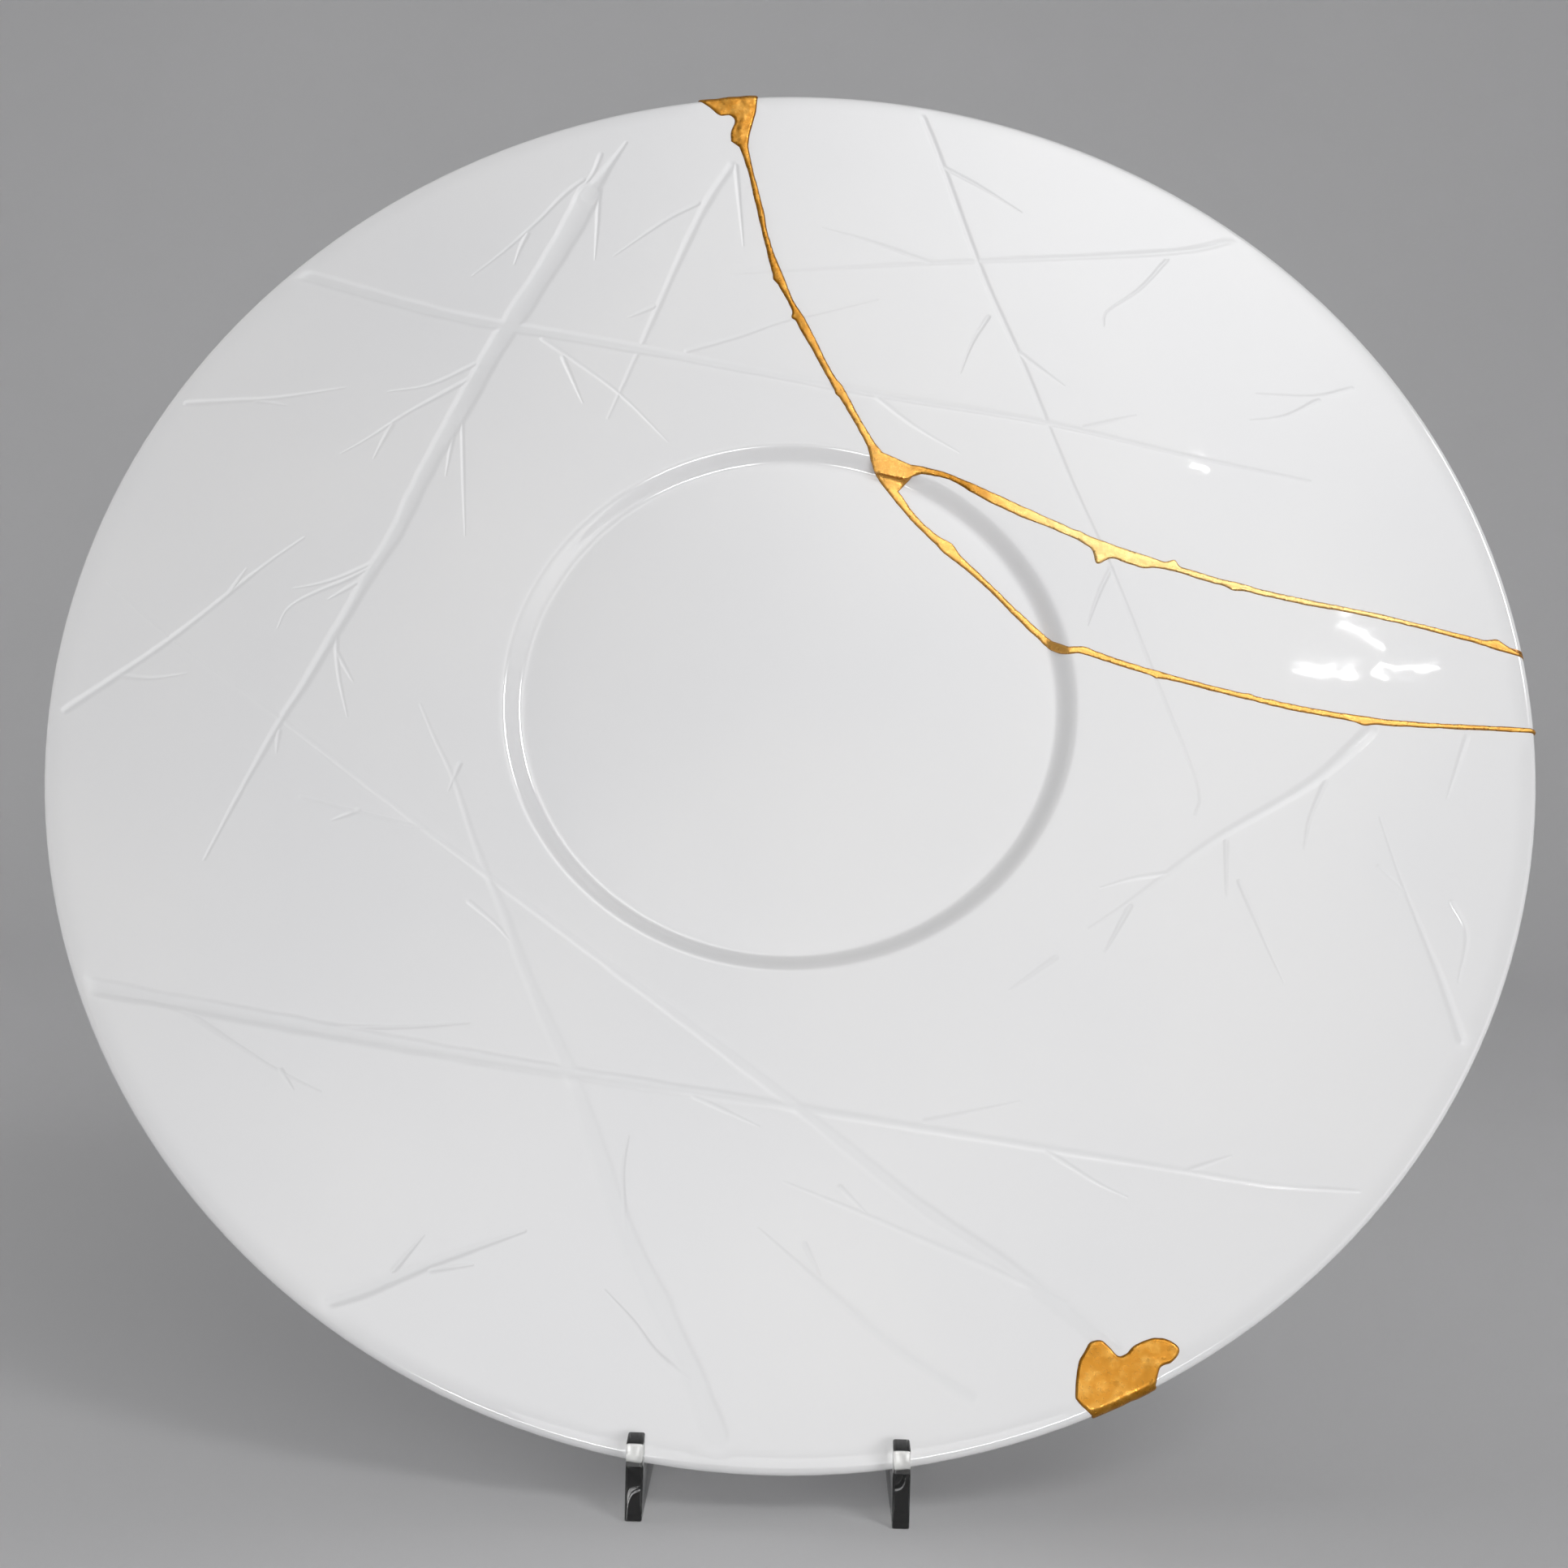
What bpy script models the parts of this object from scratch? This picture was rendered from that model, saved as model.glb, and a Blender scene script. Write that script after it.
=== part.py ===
"""A broken porcelain plate, joined again with gold, that leans in a clear two-sided easel.

Metres, +Z up. The feet stand on z = 0 and x = y = 0 is the middle of the whole object.
The plate is modelled face up in a frame of its own, x to the right, y up the face and z out of
the face with the foot ring on z = 0. An empty then turns it a little in its own plane and leans
it back into the easel.
"""
import math

import bmesh
import bpy
from mathutils import Vector

# Turned plate
PLATE_RADIUS = 0.160
LIP_RADIUS = 0.063
WELL_STEP = 0.0027
WELL_WALL_RUN = 0.0046
FLOOR_TOP = 0.0075
FLOOR_THICKNESS = 0.0040
FLANGE_RISE = 0.0040
FLANGE_THICKNESS = 0.0048
RIM_THICKNESS = 0.0028
FOOT_RADIUS = 0.0630
FOOT_WIDTH = 0.0030
FOOT_SPREAD = 0.0015
FOOT_CHAMFER = 0.0006
TURN_STEPS = 96
WALL_STEPS = 6
RIM_STEPS = 4
FLANGE_RINGS = 3

# Gaps, the standing height of the gold and the reach of the cutters
JOINT_GAP = 0.0003
GOLD_PROUD = 0.0003
PAST_RIM = 0.006
CUTTER_HALF_HEIGHT = 0.030

# Seams as (x, y, half width) down the middle of the gold, in the plate's frame
SEAM_DOWN = [
    (-0.0113, 0.1455, 0.0012), (-0.0097, 0.1385, 0.0007), (-0.0071, 0.1266, 0.0008),
    (-0.0053, 0.1172, 0.0007), (-0.0026, 0.1078, 0.0011), (0.0005, 0.1002, 0.0007),
    (0.0032, 0.0943, 0.0011), (0.0091, 0.0815, 0.0008), (0.0119, 0.0765, 0.0010),
    (0.0160, 0.0680, 0.0008), (0.0192, 0.0616, 0.0010),
]
SEAM_UPPER = [
    (0.0300, 0.0557, 0.0010), (0.0367, 0.0537, 0.0007), (0.0440, 0.0495, 0.0009),
    (0.0530, 0.0445, 0.0010), (0.0637, 0.0391, 0.0008), (0.0695, 0.0358, 0.0012),
    (0.0770, 0.0324, 0.0013), (0.0850, 0.0300, 0.0008), (0.0953, 0.0263, 0.0008),
    (0.1106, 0.0216, 0.0007), (0.1274, 0.0175, 0.0006), (0.1438, 0.0126, 0.0006),
    (0.1560, 0.0084, 0.0008),
]
SEAM_LOWER = [
    (0.0238, 0.0515, 0.0011), (0.0292, 0.0436, 0.0008), (0.0367, 0.0357, 0.0010),
    (0.0442, 0.0279, 0.0007), (0.0520, 0.0190, 0.0008), (0.0600, 0.0108, 0.0009),
    (0.0650, 0.0098, 0.0008), (0.0760, 0.0055, 0.0007), (0.0932, 0.0000, 0.0006),
    (0.1081, -0.0043, 0.0007), (0.1246, -0.0078, 0.0008), (0.1369, -0.0092, 0.0006),
    (0.1560, -0.0106, 0.0006),
]
SEAM_PITCH = 0.0034

# Gold in the top rim, outer corner first, on each side of the seam
RIM_FILL_LEFT = [
    (-0.0226, 0.1583), (-0.0197, 0.1560), (-0.0171, 0.1536), (-0.0145, 0.1536),
    (-0.0134, 0.1518), (-0.0143, 0.1487), (-0.0143, 0.1460),
]
RIM_FILL_RIGHT = [
    (-0.0077, 0.1597), (-0.0082, 0.1548), (-0.0090, 0.1510), (-0.0097, 0.1477),
]

# Gold patch where the seams meet: its left edge, its top edge and its edge to the sliver
PATCH_LEFT = [(0.0187, 0.0585), (0.0198, 0.0560), (0.0212, 0.0535)]
PATCH_TOP = [(0.0215, 0.0602), (0.0246, 0.0587), (0.0278, 0.0570)]
PATCH_SLIVER = [(0.0265, 0.0530), (0.0282, 0.0543)]

# Chip in the lower right rim, round its inner edge from rim to rim
CHIP_EDGE = [
    (0.0566, -0.1495), (0.0541, -0.1470), (0.0537, -0.1455), (0.0545, -0.1404),
    (0.0559, -0.1379), (0.0572, -0.1362), (0.0592, -0.1359), (0.0607, -0.1371),
    (0.0622, -0.1387), (0.0637, -0.1383), (0.0656, -0.1367), (0.0689, -0.1355),
    (0.0717, -0.1357), (0.0736, -0.1370), (0.0736, -0.1384), (0.0721, -0.1399),
    (0.0699, -0.1409), (0.0690, -0.1440),
]

# Engraved twigs: (width at the root, route from root to tip)
TWIGS = [
    (0.0036, [(-0.0450, 0.1390), (-0.0570, 0.1150), (-0.0760, 0.0700), (-0.0930, 0.0340),
              (-0.1100, -0.0080), (-0.1220, -0.0390)]),
    (0.0026, [(-0.0160, 0.1360), (-0.0260, 0.1130), (-0.0350, 0.0880), (-0.0410, 0.0720)]),
    (0.0030, [(-0.1080, 0.1040), (-0.0670, 0.0940), (-0.0210, 0.0850), (0.0370, 0.0730),
              (0.0900, 0.0590), (0.1160, 0.0515)]),
    (0.0024, [(-0.1530, -0.0040), (-0.1360, 0.0110), (-0.1110, 0.0350)]),
    (0.0034, [(0.0500, -0.1285), (0.0120, -0.0980), (-0.0320, -0.0650), (-0.0770, -0.0320),
              (-0.1100, -0.0070), (-0.1350, 0.0110)]),
    (0.0040, [(-0.0155, -0.1490), (-0.0280, -0.1250), (-0.0450, -0.0830), (-0.0600, -0.0490),
              (-0.0780, -0.0080)]),
    (0.0032, [(-0.1400, -0.0680), (-0.0990, -0.0750), (-0.0380, -0.0850), (0.0240, -0.0950),
              (0.0780, -0.1040), (0.1080, -0.1078)]),
    (0.0022, [(-0.0860, -0.1290), (-0.0700, -0.1222), (-0.0530, -0.1167)]),
    (0.0026, [(0.0320, -0.1450), (0.0120, -0.1310), (-0.0040, -0.1165)]),
    (0.0030, [(0.0335, 0.1500), (0.0460, 0.1080), (0.0640, 0.0530), (0.0800, 0.0030),
              (0.0868, -0.0260)]),
    (0.0024, [(-0.0120, 0.1085), (0.0350, 0.1110), (0.0660, 0.1120), (0.1040, 0.1155)]),
    (0.0030, [(0.1230, -0.0115), (0.0940, -0.0310), (0.0710, -0.0480), (0.0630, -0.0530)]),
    (0.0024, [(0.1245, -0.0330), (0.1310, -0.0540), (0.1348, -0.0740)]),
]
TWIG_TIP_SHARE = 0.30
TWIG_DEPTH_SHARE = 0.13
TWIG_PITCH = 0.012

# Lean of the plate, how far it is turned in its own plane, and the easel
LEAN = math.radians(21.0)
PLATE_TURN = math.radians(1.4)
HOOK_HALF_SPACING = 0.0245
SHEET_THICKNESS = 0.0032
SHEET_CHAMFER = 0.0004
LEDGE_HEIGHT = 0.0088
HOOK_HEIGHT = 0.0179
HOOK_DEPTH = 0.0042
FOOT_LENGTH = 0.1225
BACK_REACH = 0.070
BACK_WIDTH_LOW = 0.0150
BACK_WIDTH_TOP = 0.0095
GUSSET_RADIUS = 0.012
TIP_RADIUS = 0.0015
CORNER_STEPS = 4
BAR_WIDTH = 0.0120
BAR_THICKNESS = 0.0030
FOOT_BAR_FROM_END = 0.020
BACK_BAR_REACH = 0.018

PORCELAIN = ("white_porcelain", (0.80, 0.80, 0.82), 0.10, 0.0, 0.0)
GOLD = ("brushed_gold", (0.80, 0.47, 0.09), 0.38, 1.0, 0.0)
ACRYLIC = ("clear_acrylic", (0.93, 0.97, 0.96), 0.04, 0.0, 1.0)

LIP_TOP = FLOOR_TOP + WELL_STEP
RIM_TOP = LIP_TOP + FLANGE_RISE
RIM_ROUND = RIM_THICKNESS / 2


def clear_scene():
    for item in list(bpy.data.objects):
        bpy.data.objects.remove(item, do_unlink=True)


def new_collection(name):
    collection = bpy.data.collections.new(name)
    bpy.context.scene.collection.children.link(collection)
    return collection


def material(name, colour, roughness, metallic, transmission):
    made = bpy.data.materials.new(name)
    made.use_nodes = True
    shader = made.node_tree.nodes["Principled BSDF"]
    shader.inputs["Base Color"].default_value = (*colour, 1.0)
    shader.inputs["Roughness"].default_value = roughness
    shader.inputs["Metallic"].default_value = metallic
    shader.inputs["Transmission Weight"].default_value = transmission
    return made


def add_object(name, data, collection, finish=None):
    made = bpy.data.objects.new(name, data)
    collection.objects.link(made)
    if finish:
        data.materials.append(finish)
    return made


def make_mesh(source):
    """Turns a curve object into a mesh object with welded caps."""
    graph = bpy.context.evaluated_depsgraph_get()
    mesh = bpy.data.meshes.new_from_object(source.evaluated_get(graph))
    work = bmesh.new()
    work.from_mesh(mesh)
    bmesh.ops.remove_doubles(work, verts=work.verts, dist=0.000001)
    bmesh.ops.recalc_face_normals(work, faces=work.faces)
    work.to_mesh(mesh)
    work.free()
    made = bpy.data.objects.new(source.name, mesh)
    made.matrix_world = source.matrix_world
    for collection in source.users_collection:
        collection.objects.link(made)
    bpy.data.objects.remove(source)
    made.name = mesh.name
    return made


def hide_cutter(cutter):
    cutter.hide_render = True
    cutter.display_type = "WIRE"
    return cutter


def smooth_step(share):
    return share * share * (3.0 - 2.0 * share)


def front_height(radius):
    """Height of the plate's face over the plane of its foot."""
    floor_radius = LIP_RADIUS - WELL_WALL_RUN
    if radius <= floor_radius:
        return FLOOR_TOP
    if radius < LIP_RADIUS:
        return FLOOR_TOP + WELL_STEP * smooth_step((radius - floor_radius) / WELL_WALL_RUN)
    return LIP_TOP + FLANGE_RISE * (radius - LIP_RADIUS) / (PLATE_RADIUS - LIP_RADIUS)


def plate_profile(grow):
    """Half section from the middle of the face, out to the rim and back under to the middle."""
    floor_radius = LIP_RADIUS - WELL_WALL_RUN
    edge_radius = PLATE_RADIUS - RIM_ROUND
    radii = [0.0, floor_radius * 0.5]
    radii += [floor_radius + WELL_WALL_RUN * step / WALL_STEPS for step in range(WALL_STEPS + 1)]
    flange = edge_radius - LIP_RADIUS
    radii += [LIP_RADIUS + flange * ring / FLANGE_RINGS for ring in range(1, FLANGE_RINGS)]
    section = [(radius, front_height(radius) + grow) for radius in radii]
    rim_middle = RIM_TOP - RIM_ROUND
    for step in range(RIM_STEPS + 1):
        angle = math.pi * (0.5 - step / RIM_STEPS)
        reach = RIM_ROUND + grow
        section.append((edge_radius + reach * math.cos(angle), rim_middle + reach * math.sin(angle)))
    outer = FOOT_RADIUS + FOOT_WIDTH / 2
    inner = FOOT_RADIUS - FOOT_WIDTH / 2
    root = LIP_TOP - FLANGE_THICKNESS - grow
    under = FLOOR_TOP - FLOOR_THICKNESS - grow
    section += [
        (outer + FOOT_SPREAD + grow, root),
        (outer + grow, FOOT_CHAMFER),
        (outer + grow - FOOT_CHAMFER, 0.0),
        (inner - grow + FOOT_CHAMFER, 0.0),
        (inner - grow, FOOT_CHAMFER),
        (inner - FOOT_SPREAD - grow, under),
        (0.0, under),
    ]
    return section


def turned_plate(name, grow, collection):
    section = plate_profile(grow)
    mesh = bpy.data.meshes.new(name)
    points = [(radius, 0.0, height) for radius, height in section]
    mesh.from_pydata(points, [(i, i + 1) for i in range(len(points) - 1)], [])
    plate = add_object(name, mesh, collection)
    turn = plate.modifiers.new("Turn", "SCREW")
    turn.axis = "Z"
    turn.steps = TURN_STEPS
    turn.render_steps = TURN_STEPS
    turn.use_merge_vertices = True
    turn.merge_threshold = 0.00001
    turn.use_smooth_shade = False
    return plate


def smooth_route(points, pitch):
    """Points along a Catmull-Rom curve through the given ones, about pitch apart."""
    knots = [Vector(point) for point in points]
    knots = [2 * knots[0] - knots[1]] + knots + [2 * knots[-1] - knots[-2]]
    route = []
    for a, b, c, d in zip(knots, knots[1:], knots[2:], knots[3:]):
        parts = max(1, round((c - b).length / pitch))
        for part in range(parts):
            t = part / parts
            route.append(0.5 * (2 * b + (c - a) * t + (2 * a - 5 * b + 4 * c - d) * t * t
                                + (3 * b - a - 3 * c + d) * t * t * t))
    route.append(knots[-2])
    return route


def side_normals(points):
    """Unit vectors to the left of a flat line, one at each of its points."""
    normals = []
    last = len(points) - 1
    for i in range(len(points)):
        along = (points[min(i + 1, last)] - points[max(i - 1, 0)]).normalized()
        normals.append(Vector((-along.y, along.x)))
    return normals


def seam_edges(seam):
    """Left and right edges of a seam, from its first point to its last."""
    route = smooth_route(seam, SEAM_PITCH)
    middle = [Vector(point[:2]) for point in route]
    left = []
    right = []
    for point, knot, normal in zip(middle, route, side_normals(middle)):
        left.append(point + normal * knot.z)
        right.append(point - normal * knot.z)
    return left, right


def out_past_rim(edge):
    """Carries the end of an edge straight out beyond the rim."""
    along = (edge[-1] - edge[-2]).normalized()
    return edge + [edge[-1] + along * (PLATE_RADIUS + PAST_RIM - edge[-1].length)]


def outward(point):
    flat = Vector(point)
    return flat.normalized() * (PLATE_RADIUS + PAST_RIM)


def seam_outline():
    """Outline of all the gold that holds the shards, once round, seen from the face."""
    down_left, down_right = seam_edges(SEAM_DOWN)
    upper_left, upper_right = seam_edges(SEAM_UPPER)
    lower_left, lower_right = seam_edges(SEAM_LOWER)
    main_side = [outward(RIM_FILL_LEFT[0])] + [Vector(p) for p in RIM_FILL_LEFT] + down_right[1:]
    main_side += [Vector(p) for p in PATCH_LEFT] + out_past_rim(lower_right)
    sliver_side = out_past_rim(lower_left)[::-1] + [Vector(p) for p in PATCH_SLIVER]
    sliver_side += out_past_rim(upper_right)
    upper_side = out_past_rim(upper_left)[::-1] + [Vector(p) for p in PATCH_TOP[::-1]]
    upper_side += down_left[:0:-1] + [Vector(p) for p in RIM_FILL_RIGHT[::-1]]
    upper_side.append(outward(RIM_FILL_RIGHT[0]))
    return main_side + sliver_side + upper_side


def chip_outline():
    return [outward(CHIP_EDGE[0])] + [Vector(p) for p in CHIP_EDGE] + [outward(CHIP_EDGE[-1])]


def signed_area(outline):
    following = outline[1:] + outline[:1]
    return sum(a.x * b.y - a.y * b.x for a, b in zip(outline, following)) / 2


def widened(outline, distance):
    """The outline moved outwards by a distance."""
    side = 1.0 if signed_area(outline) > 0 else -1.0
    moved = []
    for i, point in enumerate(outline):
        before = (point - outline[i - 1]).normalized()
        after = (outline[(i + 1) % len(outline)] - point).normalized()
        mean = (before + after).normalized()
        stretch = 1.0 / max(0.5, mean.dot(before))
        moved.append(point + Vector((mean.y, -mean.x)) * (side * distance * stretch))
    return moved


def prism(name, outline, collection):
    curve = bpy.data.curves.new(name, "CURVE")
    curve.dimensions = "2D"
    curve.fill_mode = "BOTH"
    curve.extrude = CUTTER_HALF_HEIGHT
    spline = curve.splines.new("POLY")
    spline.points.add(len(outline) - 1)
    for knot, point in zip(spline.points, outline):
        knot.co = (point.x, point.y, 0.0, 1.0)
    spline.use_cyclic_u = True
    return hide_cutter(make_mesh(add_object(name, curve, collection)))


def twig_cutter(name, root_width, points, collection):
    """A tapering twelve-sided rod that dips into the face and leaves a groove."""
    route = smooth_route(points, TWIG_PITCH)
    curve = bpy.data.curves.new(name, "CURVE")
    curve.dimensions = "3D"
    curve.twist_mode = "Z_UP"
    curve.bevel_depth = root_width
    curve.bevel_resolution = 4
    curve.use_fill_caps = True
    spline = curve.splines.new("POLY")
    spline.points.add(len(route) - 1)
    last = len(route) - 1
    for i, (knot, point) in enumerate(zip(spline.points, route)):
        share = 1.0 - (1.0 - TWIG_TIP_SHARE) * i / last
        width = root_width * share
        height = front_height(math.hypot(point[0], point[1])) + width * (1.0 - TWIG_DEPTH_SHARE)
        knot.co = (point[0], point[1], height, 1.0)
        knot.radius = share
    return hide_cutter(make_mesh(add_object(name, curve, collection)))


def cut(target, name, operation, cutter=None, group=None):
    change = target.modifiers.new(name, "BOOLEAN")
    change.operation = operation
    change.solver = "EXACT"
    if group:
        change.operand_type = "COLLECTION"
        change.collection = group
    else:
        change.object = cutter
    return change


def select_only(item):
    bpy.ops.object.select_all(action="DESELECT")
    item.select_set(True)
    bpy.context.view_layer.objects.active = item


def broken_plate(slot, chip, engraving, collection, finish):
    """Turns and engraves the plate, cuts out the gold's place and names the shards left."""
    plate = turned_plate("plate_main_shard", 0.0, collection)
    plate.data.materials.append(finish)
    cut(plate, "Engraving", "DIFFERENCE", group=engraving)
    cut(plate, "Seams", "DIFFERENCE", cutter=slot)
    cut(plate, "Chip", "DIFFERENCE", cutter=chip)
    select_only(plate)
    bpy.ops.object.convert(target="MESH")
    bpy.ops.mesh.separate(type="LOOSE")
    shards = list(bpy.context.selected_objects)
    shards.sort(key=lambda shard: len(shard.data.polygons), reverse=True)
    main, upper, sliver = shards
    upper.name = "plate_upper_shard"
    sliver.name = "plate_sliver_shard"
    main.name = "plate_main_shard"
    return shards


def gold_piece(name, cutter, collection, finish):
    piece = turned_plate(name, GOLD_PROUD, collection)
    piece.data.materials.append(finish)
    cut(piece, "Outline", "INTERSECT", cutter=cutter)
    return piece


def arc(centre, radius, start, end, steps):
    points = []
    for step in range(steps + 1):
        angle = math.radians(start + (end - start) * step / steps)
        points.append(Vector((centre[0] + radius * math.cos(angle),
                              centre[1] + radius * math.sin(angle))))
    return points


def stand_outline(plate_to_yz, foot_front):
    """Outline of one side of the easel, as (y, z): foot, front hook and sloping back."""
    foot_back = foot_front + FOOT_LENGTH
    hook_back = foot_front + HOOK_DEPTH
    up = Vector((math.sin(LEAN), math.cos(LEAN)))
    behind = Vector((math.cos(LEAN), -math.sin(LEAN)))
    top_front = plate_to_yz(BACK_REACH, -JOINT_GAP)
    ledge_end = top_front - up * ((top_front.y - LEDGE_HEIGHT) / up.y)
    tip_middle = top_front + behind * (BACK_WIDTH_TOP / 2)
    low_back = ledge_end + behind * (BACK_WIDTH_LOW / math.cos(LEAN))
    slope = (tip_middle + behind * (BACK_WIDTH_TOP / 2) - low_back).normalized()
    gusset_start = low_back + slope * (GUSSET_RADIUS - (low_back.y - LEDGE_HEIGHT) / slope.y)
    gusset_end = Vector((gusset_start.x - slope.x * GUSSET_RADIUS + GUSSET_RADIUS, LEDGE_HEIGHT))
    gusset_corner = gusset_start - slope * GUSSET_RADIUS
    gusset = []
    for step in range(1, CORNER_STEPS):
        t = step / CORNER_STEPS
        gusset.append(gusset_start * (1 - t) ** 2 + gusset_corner * (2 * t * (1 - t)) + gusset_end * t * t)
    tip_turn = math.degrees(math.atan2(behind.y, behind.x))
    outline = [Vector((foot_back, 0.0)), Vector((foot_front, 0.0))]
    outline += arc((foot_front + TIP_RADIUS, HOOK_HEIGHT - TIP_RADIUS), TIP_RADIUS, 180, 90, CORNER_STEPS)
    outline += arc((hook_back - TIP_RADIUS, HOOK_HEIGHT - TIP_RADIUS), TIP_RADIUS, 90, 0, CORNER_STEPS)
    outline += [Vector((hook_back, LEDGE_HEIGHT)), ledge_end]
    outline += arc(tip_middle, BACK_WIDTH_TOP / 2, tip_turn + 180, tip_turn, 2 * CORNER_STEPS)
    outline += [gusset_start] + gusset + [gusset_end]
    outline.append(Vector((foot_back, LEDGE_HEIGHT)))
    return outline


def stand_side(name, x, outline, collection, finish):
    curve = bpy.data.curves.new(name, "CURVE")
    curve.dimensions = "2D"
    curve.fill_mode = "BOTH"
    curve.extrude = SHEET_THICKNESS / 2
    spline = curve.splines.new("POLY")
    spline.points.add(len(outline) - 1)
    for knot, point in zip(spline.points, outline):
        knot.co = (point.x, point.y, 0.0, 1.0)
    spline.use_cyclic_u = True
    side = add_object(name, curve, collection, finish)
    side.location = (x, 0.0, 0.0)
    side.rotation_euler = (math.pi / 2, 0.0, math.pi / 2)
    weld = side.modifiers.new("Weld", "WELD")
    weld.merge_threshold = 0.00001
    soften = side.modifiers.new("Edges", "BEVEL")
    soften.width = SHEET_CHAMFER
    soften.segments = 1
    soften.limit_method = "ANGLE"
    soften.angle_limit = math.radians(50)
    return side


def stand_bar(name, middle, size, turn, collection, finish):
    bpy.ops.mesh.primitive_cube_add(size=1.0)
    bar = bpy.context.object
    bar.name = name
    bar.data.name = name
    for vertex in bar.data.vertices:
        vertex.co = Vector(a * b for a, b in zip(vertex.co, size))
    for held in list(bar.users_collection):
        held.objects.unlink(bar)
    collection.objects.link(bar)
    bar.data.materials.append(finish)
    bar.location = middle
    bar.rotation_euler = (turn, 0.0, 0.0)
    soften = bar.modifiers.new("Edges", "BEVEL")
    soften.width = SHEET_CHAMFER
    soften.segments = 1
    return bar


def build():
    clear_scene()
    parts = new_collection("repaired_plate")
    cutters = new_collection("cutters")
    engraving = new_collection("engraving_cutters")
    porcelain = material(*PORCELAIN)
    gold = material(*GOLD)
    acrylic = material(*ACRYLIC)

    for number, (width, route) in enumerate(TWIGS, 1):
        twig_cutter("twig_%02d" % number, width, route, engraving)
    seams = seam_outline()
    chip = chip_outline()
    seam_slot = prism("seam_slot", widened(seams, JOINT_GAP), cutters)
    chip_slot = prism("chip_slot", widened(chip, JOINT_GAP), cutters)
    shards = broken_plate(seam_slot, chip_slot, engraving, parts, porcelain)
    seam_shape = prism("seam_shape", seams, cutters)
    chip_shape = prism("chip_shape", chip, cutters)
    fills = [
        gold_piece("gold_seams", seam_shape, parts, gold),
        gold_piece("gold_chip_fill", chip_shape, parts, gold),
    ]

    # The plate's lowest edge, at the hooks, sits one gap above the ledge
    chord = math.sqrt(PLATE_RADIUS ** 2 - HOOK_HALF_SPACING ** 2)
    edge_drop = (chord - RIM_ROUND) * math.cos(LEAN) + RIM_ROUND
    rim_middle = RIM_TOP - RIM_ROUND
    rise = LEDGE_HEIGHT + JOINT_GAP + edge_drop - rim_middle * math.sin(LEAN)
    rim_front = (chord - RIM_ROUND) * math.sin(LEAN) + rim_middle * math.cos(LEAN) + RIM_ROUND
    foot_front = -FOOT_LENGTH / 2
    back = foot_front + HOOK_DEPTH + JOINT_GAP + rim_front

    def plate_to_yz(up_face, out_of_face):
        return Vector((back + up_face * math.sin(LEAN) - out_of_face * math.cos(LEAN),
                       rise + up_face * math.cos(LEAN) + out_of_face * math.sin(LEAN)))

    outline = stand_outline(plate_to_yz, foot_front)
    stand_side("stand_left_side", -HOOK_HALF_SPACING, outline, parts, acrylic)
    stand_side("stand_right_side", HOOK_HALF_SPACING, outline, parts, acrylic)
    span = 2 * (HOOK_HALF_SPACING - SHEET_THICKNESS / 2 - JOINT_GAP)
    foot_bar_y = foot_front + FOOT_LENGTH - FOOT_BAR_FROM_END
    stand_bar("stand_foot_bar", (0.0, foot_bar_y, LEDGE_HEIGHT / 2), (span, BAR_WIDTH, BAR_THICKNESS),
              0.0, parts, acrylic)
    bar_place = plate_to_yz(BACK_BAR_REACH, -JOINT_GAP - BAR_WIDTH / 2)
    stand_bar("stand_back_bar", (0.0, bar_place.x, bar_place.y), (span, BAR_THICKNESS, BAR_WIDTH),
              -LEAN, parts, acrylic)

    lean = bpy.data.objects.new("plate_lean", None)
    parts.objects.link(lean)
    for piece in shards + fills + [seam_shape, chip_shape]:
        piece.parent = lean
    lean.location = (0.0, back, rise)
    lean.rotation_mode = "ZYX"
    lean.rotation_euler = (math.pi / 2 - LEAN, 0.0, PLATE_TURN)


build()
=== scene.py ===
"""Looks of a broken porcelain plate, joined again with gold, that leans in a clear easel.

Metres, +Z up. The plate is shaped face up in a frame of its own, x to the right, y up the face
and z out of the face, with its foot ring on z = 0. It is then turned a little in its own plane
and leaned back into the easel. Only the tables of points on the plate are in millimetres.
"""
import math

import bmesh
import bpy
import numpy as np
from mathutils import Matrix, Vector, noise
from mathutils.geometry import delaunay_2d_cdt
from mathutils.kdtree import KDTree


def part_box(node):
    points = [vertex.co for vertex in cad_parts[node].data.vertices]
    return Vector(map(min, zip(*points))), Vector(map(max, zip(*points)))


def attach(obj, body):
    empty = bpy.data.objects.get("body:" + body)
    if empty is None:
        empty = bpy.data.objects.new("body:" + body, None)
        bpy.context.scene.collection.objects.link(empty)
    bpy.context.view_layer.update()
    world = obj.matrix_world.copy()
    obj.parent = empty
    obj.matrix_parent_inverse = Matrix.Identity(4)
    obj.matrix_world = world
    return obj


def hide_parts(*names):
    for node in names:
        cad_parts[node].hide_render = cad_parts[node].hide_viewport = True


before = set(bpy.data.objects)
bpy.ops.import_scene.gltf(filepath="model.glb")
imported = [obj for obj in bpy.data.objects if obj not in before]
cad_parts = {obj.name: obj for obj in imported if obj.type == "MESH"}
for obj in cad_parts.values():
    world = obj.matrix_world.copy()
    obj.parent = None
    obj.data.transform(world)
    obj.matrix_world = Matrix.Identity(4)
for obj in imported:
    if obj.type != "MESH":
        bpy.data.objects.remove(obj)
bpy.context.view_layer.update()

# Turned plate
PLATE_RADIUS = 0.16
LIP_RADIUS = 0.063
WELL_STEP = 0.0027
WELL_WALL_RUN = 0.0046
FLOOR_TOP = 0.0075
WALL_EASE = 0.0005
FLOOR_THICKNESS = 0.004
FLANGE_RISE = 0.004
FLANGE_THICKNESS = 0.0048
RIM_THICKNESS = 0.0028
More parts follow.
